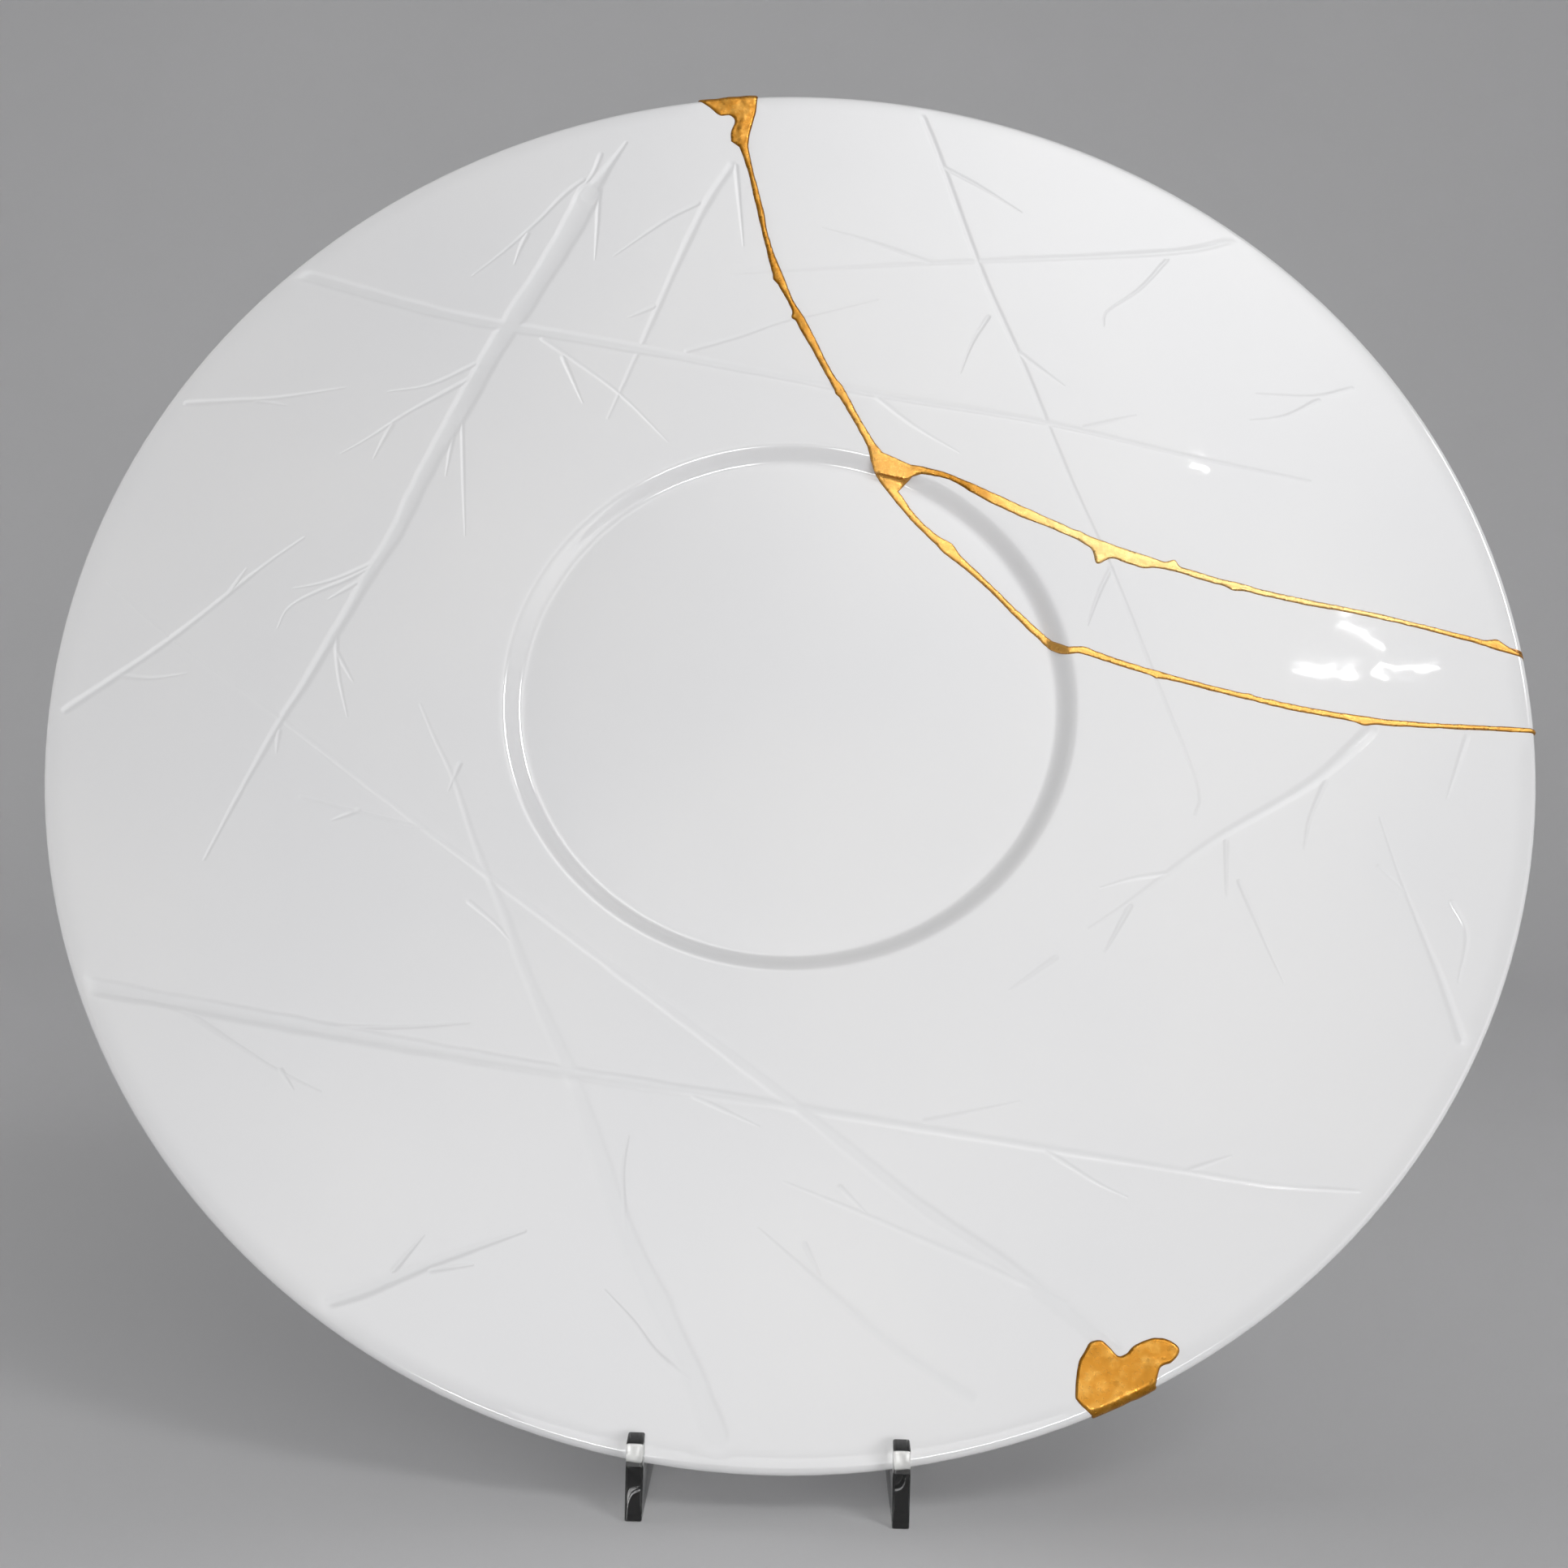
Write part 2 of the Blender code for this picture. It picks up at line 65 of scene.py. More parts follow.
FOOT_RADIUS = 0.063
FOOT_WIDTH = 0.003
FOOT_SPREAD = 0.0015
ROOT_ROUND = 0.0016
FOOT_ROUND = 0.0008
HOLLOW_ROUND = 0.0014
TURN_STEPS = 192
WALL_STEPS = 16
RIM_STEPS = 10
FACE_RING_PITCH = 0.0034
BACK_RING_PITCH = 0.009

FLOOR_RADIUS = LIP_RADIUS - WELL_WALL_RUN
LIP_TOP = FLOOR_TOP + WELL_STEP
RIM_TOP = LIP_TOP + FLANGE_RISE
RIM_ROUND = RIM_THICKNESS / 2
RIM_MIDDLE = RIM_TOP - RIM_ROUND
EDGE_RADIUS = PLATE_RADIUS - RIM_ROUND

# Lean of the plate, how far it is turned in its own plane, and the easel
LEAN = math.radians(21.0)
PLATE_TURN = math.radians(1.4)
JOINT_GAP = 0.0003
LEDGE_HEIGHT = 0.0088
HOOK_HEIGHT = 0.0152
HOOK_SLANT = 0.0009
HOOK_DEPTH = 0.0042
BACK_REACH = 0.07
BACK_WIDTH_LOW = 0.015
BACK_WIDTH_TOP = 0.0095
GUSSET_RADIUS = 0.012
CORNER_STEPS = 8
SHEET_EDGE = 0.0004
BAR_DEPTH = 0.012
BAR_THICKNESS = 0.003

# Seams as (x, y, half width) down the middle of the gold, in the plate's frame
SEAM_DOWN = [
    (-11.3, 145.5, 1.2), (-9.7, 138.5, 0.7), (-7.1, 126.6, 0.8), (-5.3, 117.2, 0.7), (-2.6, 107.8, 1.1),
    (0.5, 100.2, 0.7), (3.2, 94.3, 1.1), (9.1, 81.5, 0.8), (11.9, 76.5, 1), (16, 68, 0.8),
    (19.2, 61.6, 1),
]
SEAM_UPPER = [
    (30, 55.7, 1), (36.7, 53.7, 0.7), (44, 49.5, 1.2), (53, 44.5, 1.3), (63.7, 39.1, 1),
    (69.5, 35.8, 1.4), (77, 32.4, 1.6), (85, 30, 0.8), (95.3, 26.3, 0.8), (110.6, 21.6, 0.7),
    (127.4, 17.5, 0.6), (143.8, 12.6, 0.6), (156, 8.4, 0.8),
]
SEAM_LOWER = [
    (23.8, 51.5, 1.1), (29.2, 43.6, 0.8), (36.7, 35.7, 1), (44.2, 27.9, 0.7), (52, 19, 0.8),
    (60, 10.8, 0.9), (65, 9.8, 0.8), (76, 5.5, 0.7), (93.2, 0, 0.6), (108.1, -4.3, 0.7),
    (124.6, -7.8, 0.8), (136.9, -9.2, 0.6), (156, -10.6, 0.6),
]
SEAM_PITCH = 0.00035

# Drops and spurs of gold beside a seam: (x, y, how far it stands out, its length)
NODULES = [
    (-3, 107, 0.5, 1), (1.2, 96.5, 0.7, 0.8), (11.6, 76.2, 0.6, 0.8), (66.2, 40.2, 0.5, 1.1),
    (70, 33.4, 3.1, 1.6), (79, 29, 0.7, 1.8), (86, 31.2, 1.8, 1.2), (98.5, 23.8, 0.6, 1.5),
    (154.5, 11, 1.6, 1.6), (36.5, 37.5, 0.7, 2.2), (65.5, 11.5, 0.5, 1.2), (80, 2.8, 0.5, 1.4),
    (123.7, -9, 0.7, 1.5), (100, -0.8, 0.5, 1),
]

# Gold in the top rim, outer corner first, on each side of the seam
RIM_FILL_LEFT = [
    (-22.6, 158.3), (-19.7, 156), (-17.1, 153.6), (-14.5, 153.6), (-13.4, 151.8), (-14.3, 148.7),
    (-14.3, 146),
]
RIM_FILL_RIGHT = [
    (-7.7, 159.7), (-8.2, 154.8), (-9, 151), (-9.7, 147.7),
]

# Gold patch where the seams meet: its left edge, its top edge and its edge to the sliver
PATCH_LEFT = [(18.7, 58.5), (19.8, 56), (21.2, 53.5)]
PATCH_TOP = [(21.5, 60.2), (24.6, 58.7), (27.8, 57)]
PATCH_SLIVER = [(26.5, 53), (28.2, 54.3)]

# There the gold fills the step of the well to a gentler slope, down to a ridge
PATCH_RIDGE = ((21.1, 56), (26.5, 54.3))
PATCH_DROP = 0.0006
PATCH_SLOPE = math.radians(9.0)

# Chip in the lower right rim, round its inner edge from rim to rim
CHIP_EDGE = [
    (56.6, -149.5), (54.1, -147), (53.7, -145.5), (54.5, -140.4), (55.9, -137.9), (57.2, -136.2),
    (59.2, -135.9), (60.7, -137.1), (62.2, -138.7), (63.7, -138.3), (65.6, -136.7), (68.9, -135.5),
    (71.7, -135.7), (73.6, -137), (73.6, -138.4), (72.1, -139.9), (69.9, -140.9), (69, -144),
]

# How the gold lies: cell of its mesh, bead, and what its core and the slot leave at each side
GOLD_CELL = 0.00034
GOLD_PASSES = 7
BEAD_ROUND = 0.0006
BEAD_HEIGHT = 0.00034
BEAD_SWELL = 0.0001
SWELL_REACH = 0.003
GOLD_FOOT = 0.00004
GOLD_BEDDING = 0.00016
RAGGED = 0.00016
CORE_PROUD = 0.00012
CORE_INSET = 0.00026
SLOT_INSET = 0.00023
PAST_RIM = 0.006
CUTTER_HALF_HEIGHT = 0.03
ROUND_RIM_REACH = EDGE_RADIUS + RIM_ROUND * math.radians(125)

# Engraved twigs: (width at the root, width at the tip, how deep, route from root to tip)
TWIGS = [
    (1.4, 5, 1.0, [(-40, 145.5), (-45, 136.7), (-48.7, 130)]),
    (6.4, 0.9, 1.0, [(-48.4, 130.8), (-53.3, 118.7), (-60.4, 104.1), (-68.6, 87.9), (-73.7, 76.1),
        (-77.6, 67), (-81.2, 58.8), (-85.1, 48.7), (-88.7, 38.3), (-93.9, 27.8), (-97.2, 19.9),
        (-101.7, 10), (-106, 0.2), (-109.7, -7.2), (-116.1, -22.7), (-122.5, -39.5)]),
    (3, 1, 0.6, [(-14, 139), (-20, 128), (-26, 113), (-35, 88), (-42, 69)]),
    (4.2, 1, 1.2, [(-117, 107), (-80, 96), (-51, 90.5), (-21, 84.5), (20, 75.5), (59, 67.5), (90, 58.5),
        (118, 51)]),
    (2.4, 0.8, 1.1, [(-156, -6), (-136, 11), (-118, 29), (-109, 37)]),
    (4, 0.8, 0.8, [(62, -138), (42, -122), (26, -111), (11.5, -99.2), (-1, -89), (-18, -76), (-50, -52),
        (-77, -32), (-110, -7), (-135, 11), (-151, 25)]),
    (0.9, 1.4, 1.4, [(-104, -25), (-93, -28), (-77, -32)]),
    (5.6, 0.9, 0.6, [(-13.6, -153.1), (-15.9, -147.8), (-18.3, -142), (-24.4, -130.1), (-31.5, -116.4),
        (-37.2, -101.5), (-43.6, -85.2), (-50.9, -70.1), (-55.6, -59.8), (-59.2, -50.7), (-62.4, -43.9),
        (-66.4, -34.9), (-71.6, -21.1), (-76.7, -10.8), (-80.2, -3.2)]),
    (4.4, 1.2, 1.0, [(-144, -66.5), (-119, -71), (-86, -77), (-51, -83), (-12, -89), (24, -95),
        (51, -99.5), (78, -104), (94, -106.7), (111, -108)]),
    (3.4, 0.9, 1.0, [(-87.5, -128.9), (-81.2, -126.8), (-75.2, -124.5), (-69.2, -121.9), (-61.6, -119.1),
        (-51.3, -115.5)]),
    (3.4, 0.8, 0.9, [(34, -146), (20, -137), (9, -128), (-6, -115)]),
    (2.4, 0.8, 0.9, [(53, -129), (40, -123), (28, -118), (14, -112), (-1, -106)]),
    (2.2, 0.8, 0.9, [(33, 153), (37, 140), (46, 108), (55, 82), (64, 53), (72, 30), (80, 3), (87, -22),
        (86, -29)]),
    (2.8, 0.6, 0.8, [(106, 116), (89, 113), (35, 111), (-1, 109), (-14, 108)]),
    (1.6, 0.8, 0.9, [(130, 75), (121, 73), (108, 74)]),
    (3.4, 0.8, 0.9, [(125, -10), (111, -22), (89, -35), (71, -48), (62, -54)]),
    (0.8, 3, 0.9, [(124.5, -30), (127.5, -45), (132.5, -65), (135, -78)]),
    (2, 0.8, 1.0, [(-139, 71), (-128, 72), (-118, 73), (-103, 76)]),
]

# Side shoots of the twigs: routes from the twig out to the tip
SHOOTS = [
    [(-46, 142), (-48, 136), (-52, 130)],
    [(-50, 134.5), (-52.3, 132.6), (-55.5, 129.1), (-60.1, 123.2), (-67.2, 115.1), (-75.4, 107)],
    [(-62.9, 119), (-64.6, 114.4), (-65.6, 110.3)],
    [(-46.1, 130.8), (-46.2, 121.5), (-46.5, 111.9)],
    [(-73.5, 82.8), (-83.4, 77.2), (-93.1, 75.1)],
    [(-74.2, 79.1), (-81.4, 74.2), (-88.6, 69.3), (-97, 62.5), (-102.6, 58.6)],
    [(-91.5, 66.5), (-93.3, 62.2), (-95.1, 57.5)],
    [(-76, 72), (-75.2, 63.6), (-74.2, 51), (-73.1, 38.2)],
    [(-77.4, 64), (-78.4, 53.4)],
    [(-93, 31), (-100, 27.3), (-105.2, 25.4), (-110.1, 24.3)],
    [(-94, 29.6), (-99, 26.5), (-103.3, 24.4), (-108.4, 21.5), (-111.3, 18.7), (-112.7, 14.5)],
    [(-96.5, 25.8), (-102.2, 21.8)],
    [(-99.8, 13), (-98.5, 4), (-95.7, -6.4)],
    [(-99, 8.5), (-95.2, 2)],
    [(-110, -10), (-110, -15)],
    [(-22, 128), (-30, 123), (-42, 113)],
    [(-32, 99), (-38, 96)],
    [(-13, 139), (-11, 116)],
    [(-58, 90), (-50, 84), (-39, 75), (-28, 63)],
    [(-53, 85), (-48, 73)],
    [(-24, 87), (-12, 91), (-2, 95), (6, 97), (21, 101)],
    [(20, 75), (29, 67), (39, 60)],
    [(68, 66), (80, 69)],
    [(-145.9, 2.5), (-138.9, 1.9), (-131.2, 3.2)],
    [(-124, 23), (-121, 29)],
    [(-91.5, -28), (-96.8, -30.3)],
    [(-70.8, -17), (-72.8, -23.2)],
    [(-66.7, -48.1), (-61.1, -52.8), (-57.1, -57.2)],
    [(-31.9, -115), (-32.7, -106.3), (-32.6, -101.5), (-31.9, -97)],
    [(-18.7, -143), (-25, -138.3), (-29.8, -132.4), (-35.4, -126.7)],
    [(-135, -68.8), (-128, -70.2), (-122, -72.4), (-109.8, -79.8), (-102.9, -83.9), (-93.6, -88.3)],
    [(-102, -84), (-99, -88)],
    [(-95, -75), (-79, -75), (-65, -74)],
    [(-19, -89), (-6, -95)],
    [(27, -94), (37, -92), (46, -90)],
    [(51, -100), (60, -106), (66, -109)],
    [(78, -104), (87, -101)],
    [(-76.3, -123.2), (-70.9, -116.4)],
    [(-69, -123), (-61, -122)],
    [(3, -118), (6, -124)],
    [(10, -107), (15, -112)],
    [(38, 138), (47, 132), (56, 125)],
    [(47, 96), (43, 89), (40, 81)],
    [(54, 86), (64, 77)],
    [(72, 30), (69, 24), (66, 16)],
    [(34, 111), (20, 117), (8, 121)],
    [(90, 111), (83, 103), (75, 97), (74, 93)],
    [(122, 72), (114, 68), (106, 67)],
    [(79, -42), (72, -43), (65, -45)],
    [(71, -49), (65, -59)],
    [(92, -35), (91, -47)],
    [(94, -44), (98, -57), (101, -66)],
    [(114, -22), (110, -30), (108, -37)],
    [(55, -60), (45, -67)],
    [(123, -41), (128, -47)],
    [(137, -49), (139, -56), (136, -66)],
    [(145, -12), (139, -26)],
    [(-123, 72), (-116, 71)],
]
SHOOT_ROOT = 1.7
SHOOT_TIP = 0.6
SHOOT_DEEP = 1.0
TAPER = 1.4
WOBBLE = 0.14
WOBBLE_LENGTH = 0.006
TWIG_PITCH = 0.001
GROOVE_SIDE = 0.0014
GROOVE_DEPTH_SHARE = 0.062
GROOVE_LANES = 4
GROOVE_MARGIN = 0.00025
GROOVE_RUN = 10
GROOVE_CLEAR = 0.0007
LONGEST_STEP = 0.003
DEEP_GROOVE = 0.00017
PLAIN_RIM = 0.0006
RIM_FADE = 0.002
ENGRAVED_FROM = LIP_RADIUS + 0.001

# Length of the gold's slow and quick unevenness: along its edges, round a patch, over its top
EDGE_WAVES = (0.0036, 0.0012)
PATCH_WAVE = 0.0013
TOP_WAVES = (0.0045, 0.0016)

# Distances below which corners are merged: in a solid, in the net of the face, along an outline
SAME_PLACE = 0.000001
SAME_KNOT = 0.000004
SAME_CORNER = 0.00002

# Colours of the plate, the gold and the floor, with painted shade and painted light among them
COOL_WHITE = (0.79, 0.79, 0.8)
WARM_WHITE = (0.815, 0.812, 0.815)
PINHOLE = (0.3, 0.27, 0.25)
# Painted shade in the grooves, partly the glaze that gathers there
GROOVE_SHADE_AND_GLAZE = (0.72, 0.725, 0.735)
BARE_CLAY = (0.7, 0.66, 0.6)
ORANGE_GOLD = (0.345, 0.14, 0.002)
# Painted light on the gold: yellower and paler where the lamps would be mirrored
PAINTED_LIT_GOLD = (0.66, 0.338, 0.072)
PAINTED_GOLD_REFLECTION = (0.68, 0.44, 0.165)
BRIGHT_GOLD = (0.76, 0.47, 0.11)
DARK_FLECK = (0.34, 0.13, 0.014)
# Brown lacquer at the gold's edges, partly painted shade where the gold meets the porcelain
LACQUER_AND_EDGE_SHADE = (0.17, 0.06, 0.012)
FLOOR_GREYS = ((0.6, 0.6, 0.61), (0.64, 0.64, 0.65))

# Camera and its surroundings
CAMERA_PLACE = Vector((0.004, -0.3945, 0.1359))
CAMERA_YAW = math.radians(-0.673)
CAMERA_PITCH = math.radians(-0.017)
CAMERA_ROLL = math.radians(1.305)
CAMERA_LENS = 41.83
LIGHT_AIM = Vector((0.0, 0.0, 0.155))
DAYLIGHT = 0.288

# Soft lights: name, azimuth, elevation, distance, width, height, power and whether the glaze
# mirrors them. Azimuth 0 is in front of the plate and 90 to its right.
SOFT_LIGHTS = [
    ("main_light", 34, 2, 1.5, 0.9, 0.75, 10.1, False),
    ("left_light", -88, 5, 1.5, 0.9, 0.75, 8.3, False),
    ("high_right_light", 42, 42, 1.5, 0.4, 0.5, 3.5, False),
    ("front_light", 2, 7, 1.5, 0.7, 0.4, 1.5, True),
]

# Soft glows that only the glaze and the gold reflect: azimuth, elevation, tightness, strength
GLOWS = [
    (16, 58, 40, 4.8), (10, 44, 40, 1.1), (-10, 30, 40, 2.3), (8, 30, 40, 1.4),
    (50, 0, 12, 2.2),
    (47, 41, 900, 60), (48, 45, 900, 60), (48, 49, 900, 60),
    (8, 6, 900, 30), (13, 8, 900, 30), (18, 9.5, 900, 30),
    (-9, 6, 900, 30), (-15, 8, 900, 30),
]

# Small lamps far overhead that show as glints in the glaze: two ends, thickness, the glint's
# place on the plate and the beam's spread
RIGHT_GLINTS = (0.118, 0.012)
LAMPS = [
    ((0.474, -1.382, 1.558), (0.552, -1.375, 1.548), 0.0075, RIGHT_GLINTS, 180),
    ((0.531, -1.378, 1.549), (0.554, -1.376, 1.546), 0.0065, RIGHT_GLINTS, 180),
    ((0.57, -1.372, 1.547), (0.643, -1.36, 1.539), 0.006, RIGHT_GLINTS, 180),
    ((0.533, -1.347, 1.587), (0.584, -1.356, 1.562), 0.0052, RIGHT_GLINTS, 180),
    ((0.37, -1.267, 1.714), (0.387, -1.271, 1.707), 0.0085, (0.091, 0.054), 180),
    ((-0.022, -1.564, 1.364), (0.004, -1.566, 1.361), 0.015, (0.0022, -0.0718), 1.7),
]
LAMP_RADIANCE = 30.0
NARROW_BEAM_GAIN = 3.0


def smooth_step(share):
    return share * share * (3.0 - 2.0 * share)


def front_height(radius):
    """Height of the face over the plane of the foot ring, for one radius or an array of them."""
    wall = np.clip((radius - FLOOR_RADIUS + WALL_EASE) / (WELL_WALL_RUN + 2 * WALL_EASE), 0.0, 1.0)
    flange = np.clip((radius - LIP_RADIUS) / (EDGE_RADIUS - LIP_RADIUS), 0.0, 1.0)
    step = wall ** 3 * (10.0 - 15.0 * wall + 6.0 * wall ** 2)
    return FLOOR_TOP + WELL_STEP * step + FLANGE_RISE * flange


def from_middle(places):
    return np.hypot(places[:, 0], places[:, 1])


def over_face(places, lift):
    """Points over the flat places, lifted square to the face. Past the start of the rim's curve
    the distance from the middle runs on round the rim."""
    reach = from_middle(places)
    flat = np.minimum(reach, EDGE_RADIUS)
    curl = (reach - flat) / RIM_ROUND
    sample = 0.00005
    slope = (front_height(flat + sample) - front_height(flat - sample)) / (2 * sample)
    tip = np.where(reach < EDGE_RADIUS, -np.arctan(slope), curl)
    on_arc = RIM_MIDDLE + RIM_ROUND * np.cos(curl)
    height = np.where(reach < EDGE_RADIUS, front_height(flat), on_arc) + lift * np.cos(tip)
    radius = flat + RIM_ROUND * np.sin(curl) + lift * np.sin(tip)
    around = places / np.maximum(reach, 1e-9)[:, None]
    return np.column_stack((around * radius[:, None], height))


def plate_to_world():
    """Where the easel holds the plate."""
    low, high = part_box("stand_right_side")
    half_spacing = (low.x + high.x) / 2
    chord = math.sqrt(PLATE_RADIUS ** 2 - half_spacing ** 2)
    edge_drop = (chord - RIM_ROUND) * math.cos(LEAN) + RIM_ROUND
    rise = LEDGE_HEIGHT + JOINT_GAP + edge_drop - RIM_MIDDLE * math.sin(LEAN)
    rim_front = (chord - RIM_ROUND) * math.sin(LEAN) + RIM_MIDDLE * math.cos(LEAN) + RIM_ROUND
    back = low.y + HOOK_DEPTH + JOINT_GAP + rim_front
    leaned = Matrix.Translation((0.0, back, rise)) @ Matrix.Rotation(math.pi / 2 - LEAN, 4, "X")
    return leaned @ Matrix.Rotation(PLATE_TURN, 4, "Z")


PLATE_PLACE = plate_to_world()


def smooth_route(points, pitch):
    """Points in metres along a Catmull-Rom curve through the given ones, about pitch apart."""
    knots = [Vector([part / 1000 for part in point]) for point in points]
    knots = [2 * knots[0] - knots[1]] + knots + [2 * knots[-1] - knots[-2]]
    route = []
    for a, b, c, d in zip(knots, knots[1:], knots[2:], knots[3:]):
        parts = max(1, round((c - b).length / pitch))
        for part in range(parts):
            t = part / parts
            route.append(0.5 * (2 * b + (c - a) * t + (2 * a - 5 * b + 4 * c - d) * t * t
                                + (3 * b - a - 3 * c + d) * t * t * t))
    route.append(knots[-2])
    return route


def unevenness(point, wavelength, seed):
    """Smooth noise between about -1 and 1, the same on each run."""
    return noise.noise(Vector((point[0] / wavelength, point[1] / wavelength, seed)))


def mesh_object(name, work):
    mesh = bpy.data.meshes.new(name)
    work.to_mesh(mesh)
    work.free()
    made = bpy.data.objects.new(name, mesh)
    bpy.context.scene.collection.objects.link(made)
    return made


def apply_boolean(target, cutter, operation):
    """Joins, cuts or trims an object with another, which is used up."""
    change = target.modifiers.new("Join", "BOOLEAN")
    change.operation = operation
    change.solver = "EXACT"
    change.object = cutter
    graph = bpy.context.evaluated_depsgraph_get()
    mesh = bpy.data.meshes.new_from_object(target.evaluated_get(graph))
    target.modifiers.clear()
    target.data = mesh
    bpy.data.objects.remove(cutter)


def face_out(work):
    bmesh.ops.recalc_face_normals(work, faces=work.faces[:])


def merge(work, distance):
    bmesh.ops.remove_doubles(work, verts=work.verts[:], dist=distance)


def extrude_all(work, shift):
    """Closes a flat face into a body as thick as the shift, and returns the moved corners."""
    grown = bmesh.ops.extrude_face_region(work, geom=work.faces[:])["geom"]
    moved = [item for item in grown if isinstance(item, bmesh.types.BMVert)]
    bmesh.ops.translate(work, verts=moved, vec=shift)
    return moved


def round_edges(work, edges):
    bmesh.ops.bevel(work, geom=edges, offset=SHEET_EDGE, segments=3, profile=0.5,
                    affect="EDGES", material=-1, clamp_overlap=True)


def shade_smooth(piece, angle):
    piece.data.shade_smooth()
    piece.data.set_sharp_from_angle(angle=math.radians(angle))


def finish_piece(piece, angle, material, slot, *nodes):
    shade_smooth(piece, angle)
    piece.data.materials.clear()
    piece.data.materials.append(material)
    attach(piece, "root")
    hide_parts(*nodes)


def evenly(start, end, pitch):
    """Values from start up to but without end, about pitch apart."""
    steps = max(1, round(abs(end - start) / pitch))
    return [start + (end - start) * step / steps for step in range(steps)]


def corner_curve(start, corner, end, steps):
    """A curve that leaves start towards the corner and reaches end as if from it."""
    curve = []
    for step in range(steps + 1):
        t = step / steps
        curve.append(start * (1 - t) ** 2 + corner * (2 * t * (1 - t)) + end * t * t)
    return curve


def eased_corner(before, corner, after, size, steps):
    """A sharp corner of an outline, rounded by a curve that starts and ends size away from it."""
    start = corner + (before - corner).normalized() * size
    end = corner + (after - corner).normalized() * size
    return corner_curve(start, corner, end, steps)


def plate_section(grow, face_pitch):
    """Half section from the middle of the face, out to the rim and back under to the middle."""
    radii = evenly(0.0, FLOOR_RADIUS - 0.001, BACK_RING_PITCH)
    radii += evenly(FLOOR_RADIUS - 0.001, ENGRAVED_FROM, (WELL_WALL_RUN + 0.002) / WALL_STEPS)
    radii += evenly(ENGRAVED_FROM, EDGE_RADIUS, face_pitch)
    section = [Vector((radius, float(front_height(radius)))) for radius in radii]
    for step in range(RIM_STEPS + 1):
        angle = math.pi * (0.5 - step / RIM_STEPS)
        section.append(Vector((EDGE_RADIUS + RIM_ROUND * math.cos(angle),
                               RIM_MIDDLE + RIM_ROUND * math.sin(angle))))
    outer = FOOT_RADIUS + FOOT_WIDTH / 2
    inner = FOOT_RADIUS - FOOT_WIDTH / 2
    rim_low = section[-1]
    outer_root = Vector((outer + FOOT_SPREAD, LIP_TOP - FLANGE_THICKNESS))
    inner_root = Vector((inner - FOOT_SPREAD, FLOOR_TOP - FLOOR_THICKNESS))
    outer_foot = Vector((outer, 0.0))
    inner_foot = Vector((inner, 0.0))
    middle = Vector((0.0, inner_root.y))
    under = [rim_low.lerp(outer_root, share) for share in evenly(0.0, 0.96, 0.09)]
    section += under[1:]
    section += eased_corner(rim_low, outer_root, outer_foot, ROOT_ROUND, 5)
    section += eased_corner(outer_root, outer_foot, inner_foot, FOOT_ROUND, 4)
    section += eased_corner(outer_foot, inner_foot, inner_root, FOOT_ROUND, 4)
    section += eased_corner(inner_foot, inner_root, middle, HOLLOW_ROUND, 5)
    section += [Vector((radius, middle.y)) for radius in evenly(inner_root.x - 0.003, 0.0, BACK_RING_PITCH)]
    section.append(middle)
    if not grow:
        return section
    grown = []
    last = len(section) - 1
    for i, point in enumerate(section):
        along = section[min(i + 1, last)] - section[max(i - 1, 0)]
        out = Vector((-along.y, along.x)).normalized()
        moved = point + out * grow
        grown.append(Vector((max(moved.x, 0.0) if 0 < i < last else 0.0, max(moved.y, 0.0))))
    return grown


def turned(section, steps):
    """Spins a half section round the plate's axis into a closed body."""
    work = bmesh.new()
    knots = [work.verts.new((point.x, 0.0, point.y)) for point in section]
    lines = [work.edges.new(pair) for pair in zip(knots, knots[1:])]
    bmesh.ops.spin(work, geom=knots + lines, cent=(0, 0, 0), dvec=(0, 0, 0), axis=(0, 0, 1),
                   angle=2 * math.pi, steps=steps, use_merge=True)
    merge(work, SAME_PLACE)
    face_out(work)
    return work


def groove_lines():
    """The middle line, the half widths and the depth of every engraved twig and shoot."""
    lines = []
    twigs = TWIGS + [(SHOOT_ROOT, SHOOT_TIP, SHOOT_DEEP, points) for points in SHOOTS]
    for number, (root, tip, deep, points) in enumerate(twigs):
        route = np.array([point[:] for point in smooth_route(points, TWIG_PITCH)])
        share = np.linspace(0.0, 1.0, len(route)) ** TAPER
        wobble = [1.0 + WOBBLE * unevenness(point, WOBBLE_LENGTH, number) for point in route]
        lines.append((route, (root + (tip - root) * share) / 2000 * np.array(wobble), deep))
    return lines


def reach_of_line(route, half, places, margin):
    """Each place's distance from a line, and the line's half width beside it."""
    distance = np.full(len(places), np.inf)
    width = np.zeros(len(places))
    for start in range(0, len(route) - 1, GROOVE_RUN):
        knots = route[start:start + GROOVE_RUN + 1]
        wide = half[start:start + GROOVE_RUN + 1]
        inside = (places > knots.min(0) - margin) & (places < knots.max(0) + margin)
        near = np.nonzero(inside.all(1))[0]
        if not len(near):
            continue
        along = knots[1:] - knots[:-1]
        offset = places[near][:, None, :] - knots[None, :-1]
        share = np.clip((offset * along).sum(2) / (along ** 2).sum(1), 0.0, 1.0)
        away = np.linalg.norm(offset - share[..., None] * along, axis=2)
        best = away.argmin(1)
        rows = np.arange(len(near))
        found = away[rows, best]
        half_there = wide[best] + share[rows, best] * (wide[best + 1] - wide[best])
        closer = found < distance[near]
        distance[near[closer]] = found[closer]
        width[near[closer]] = half_there[closer]
    return distance, width


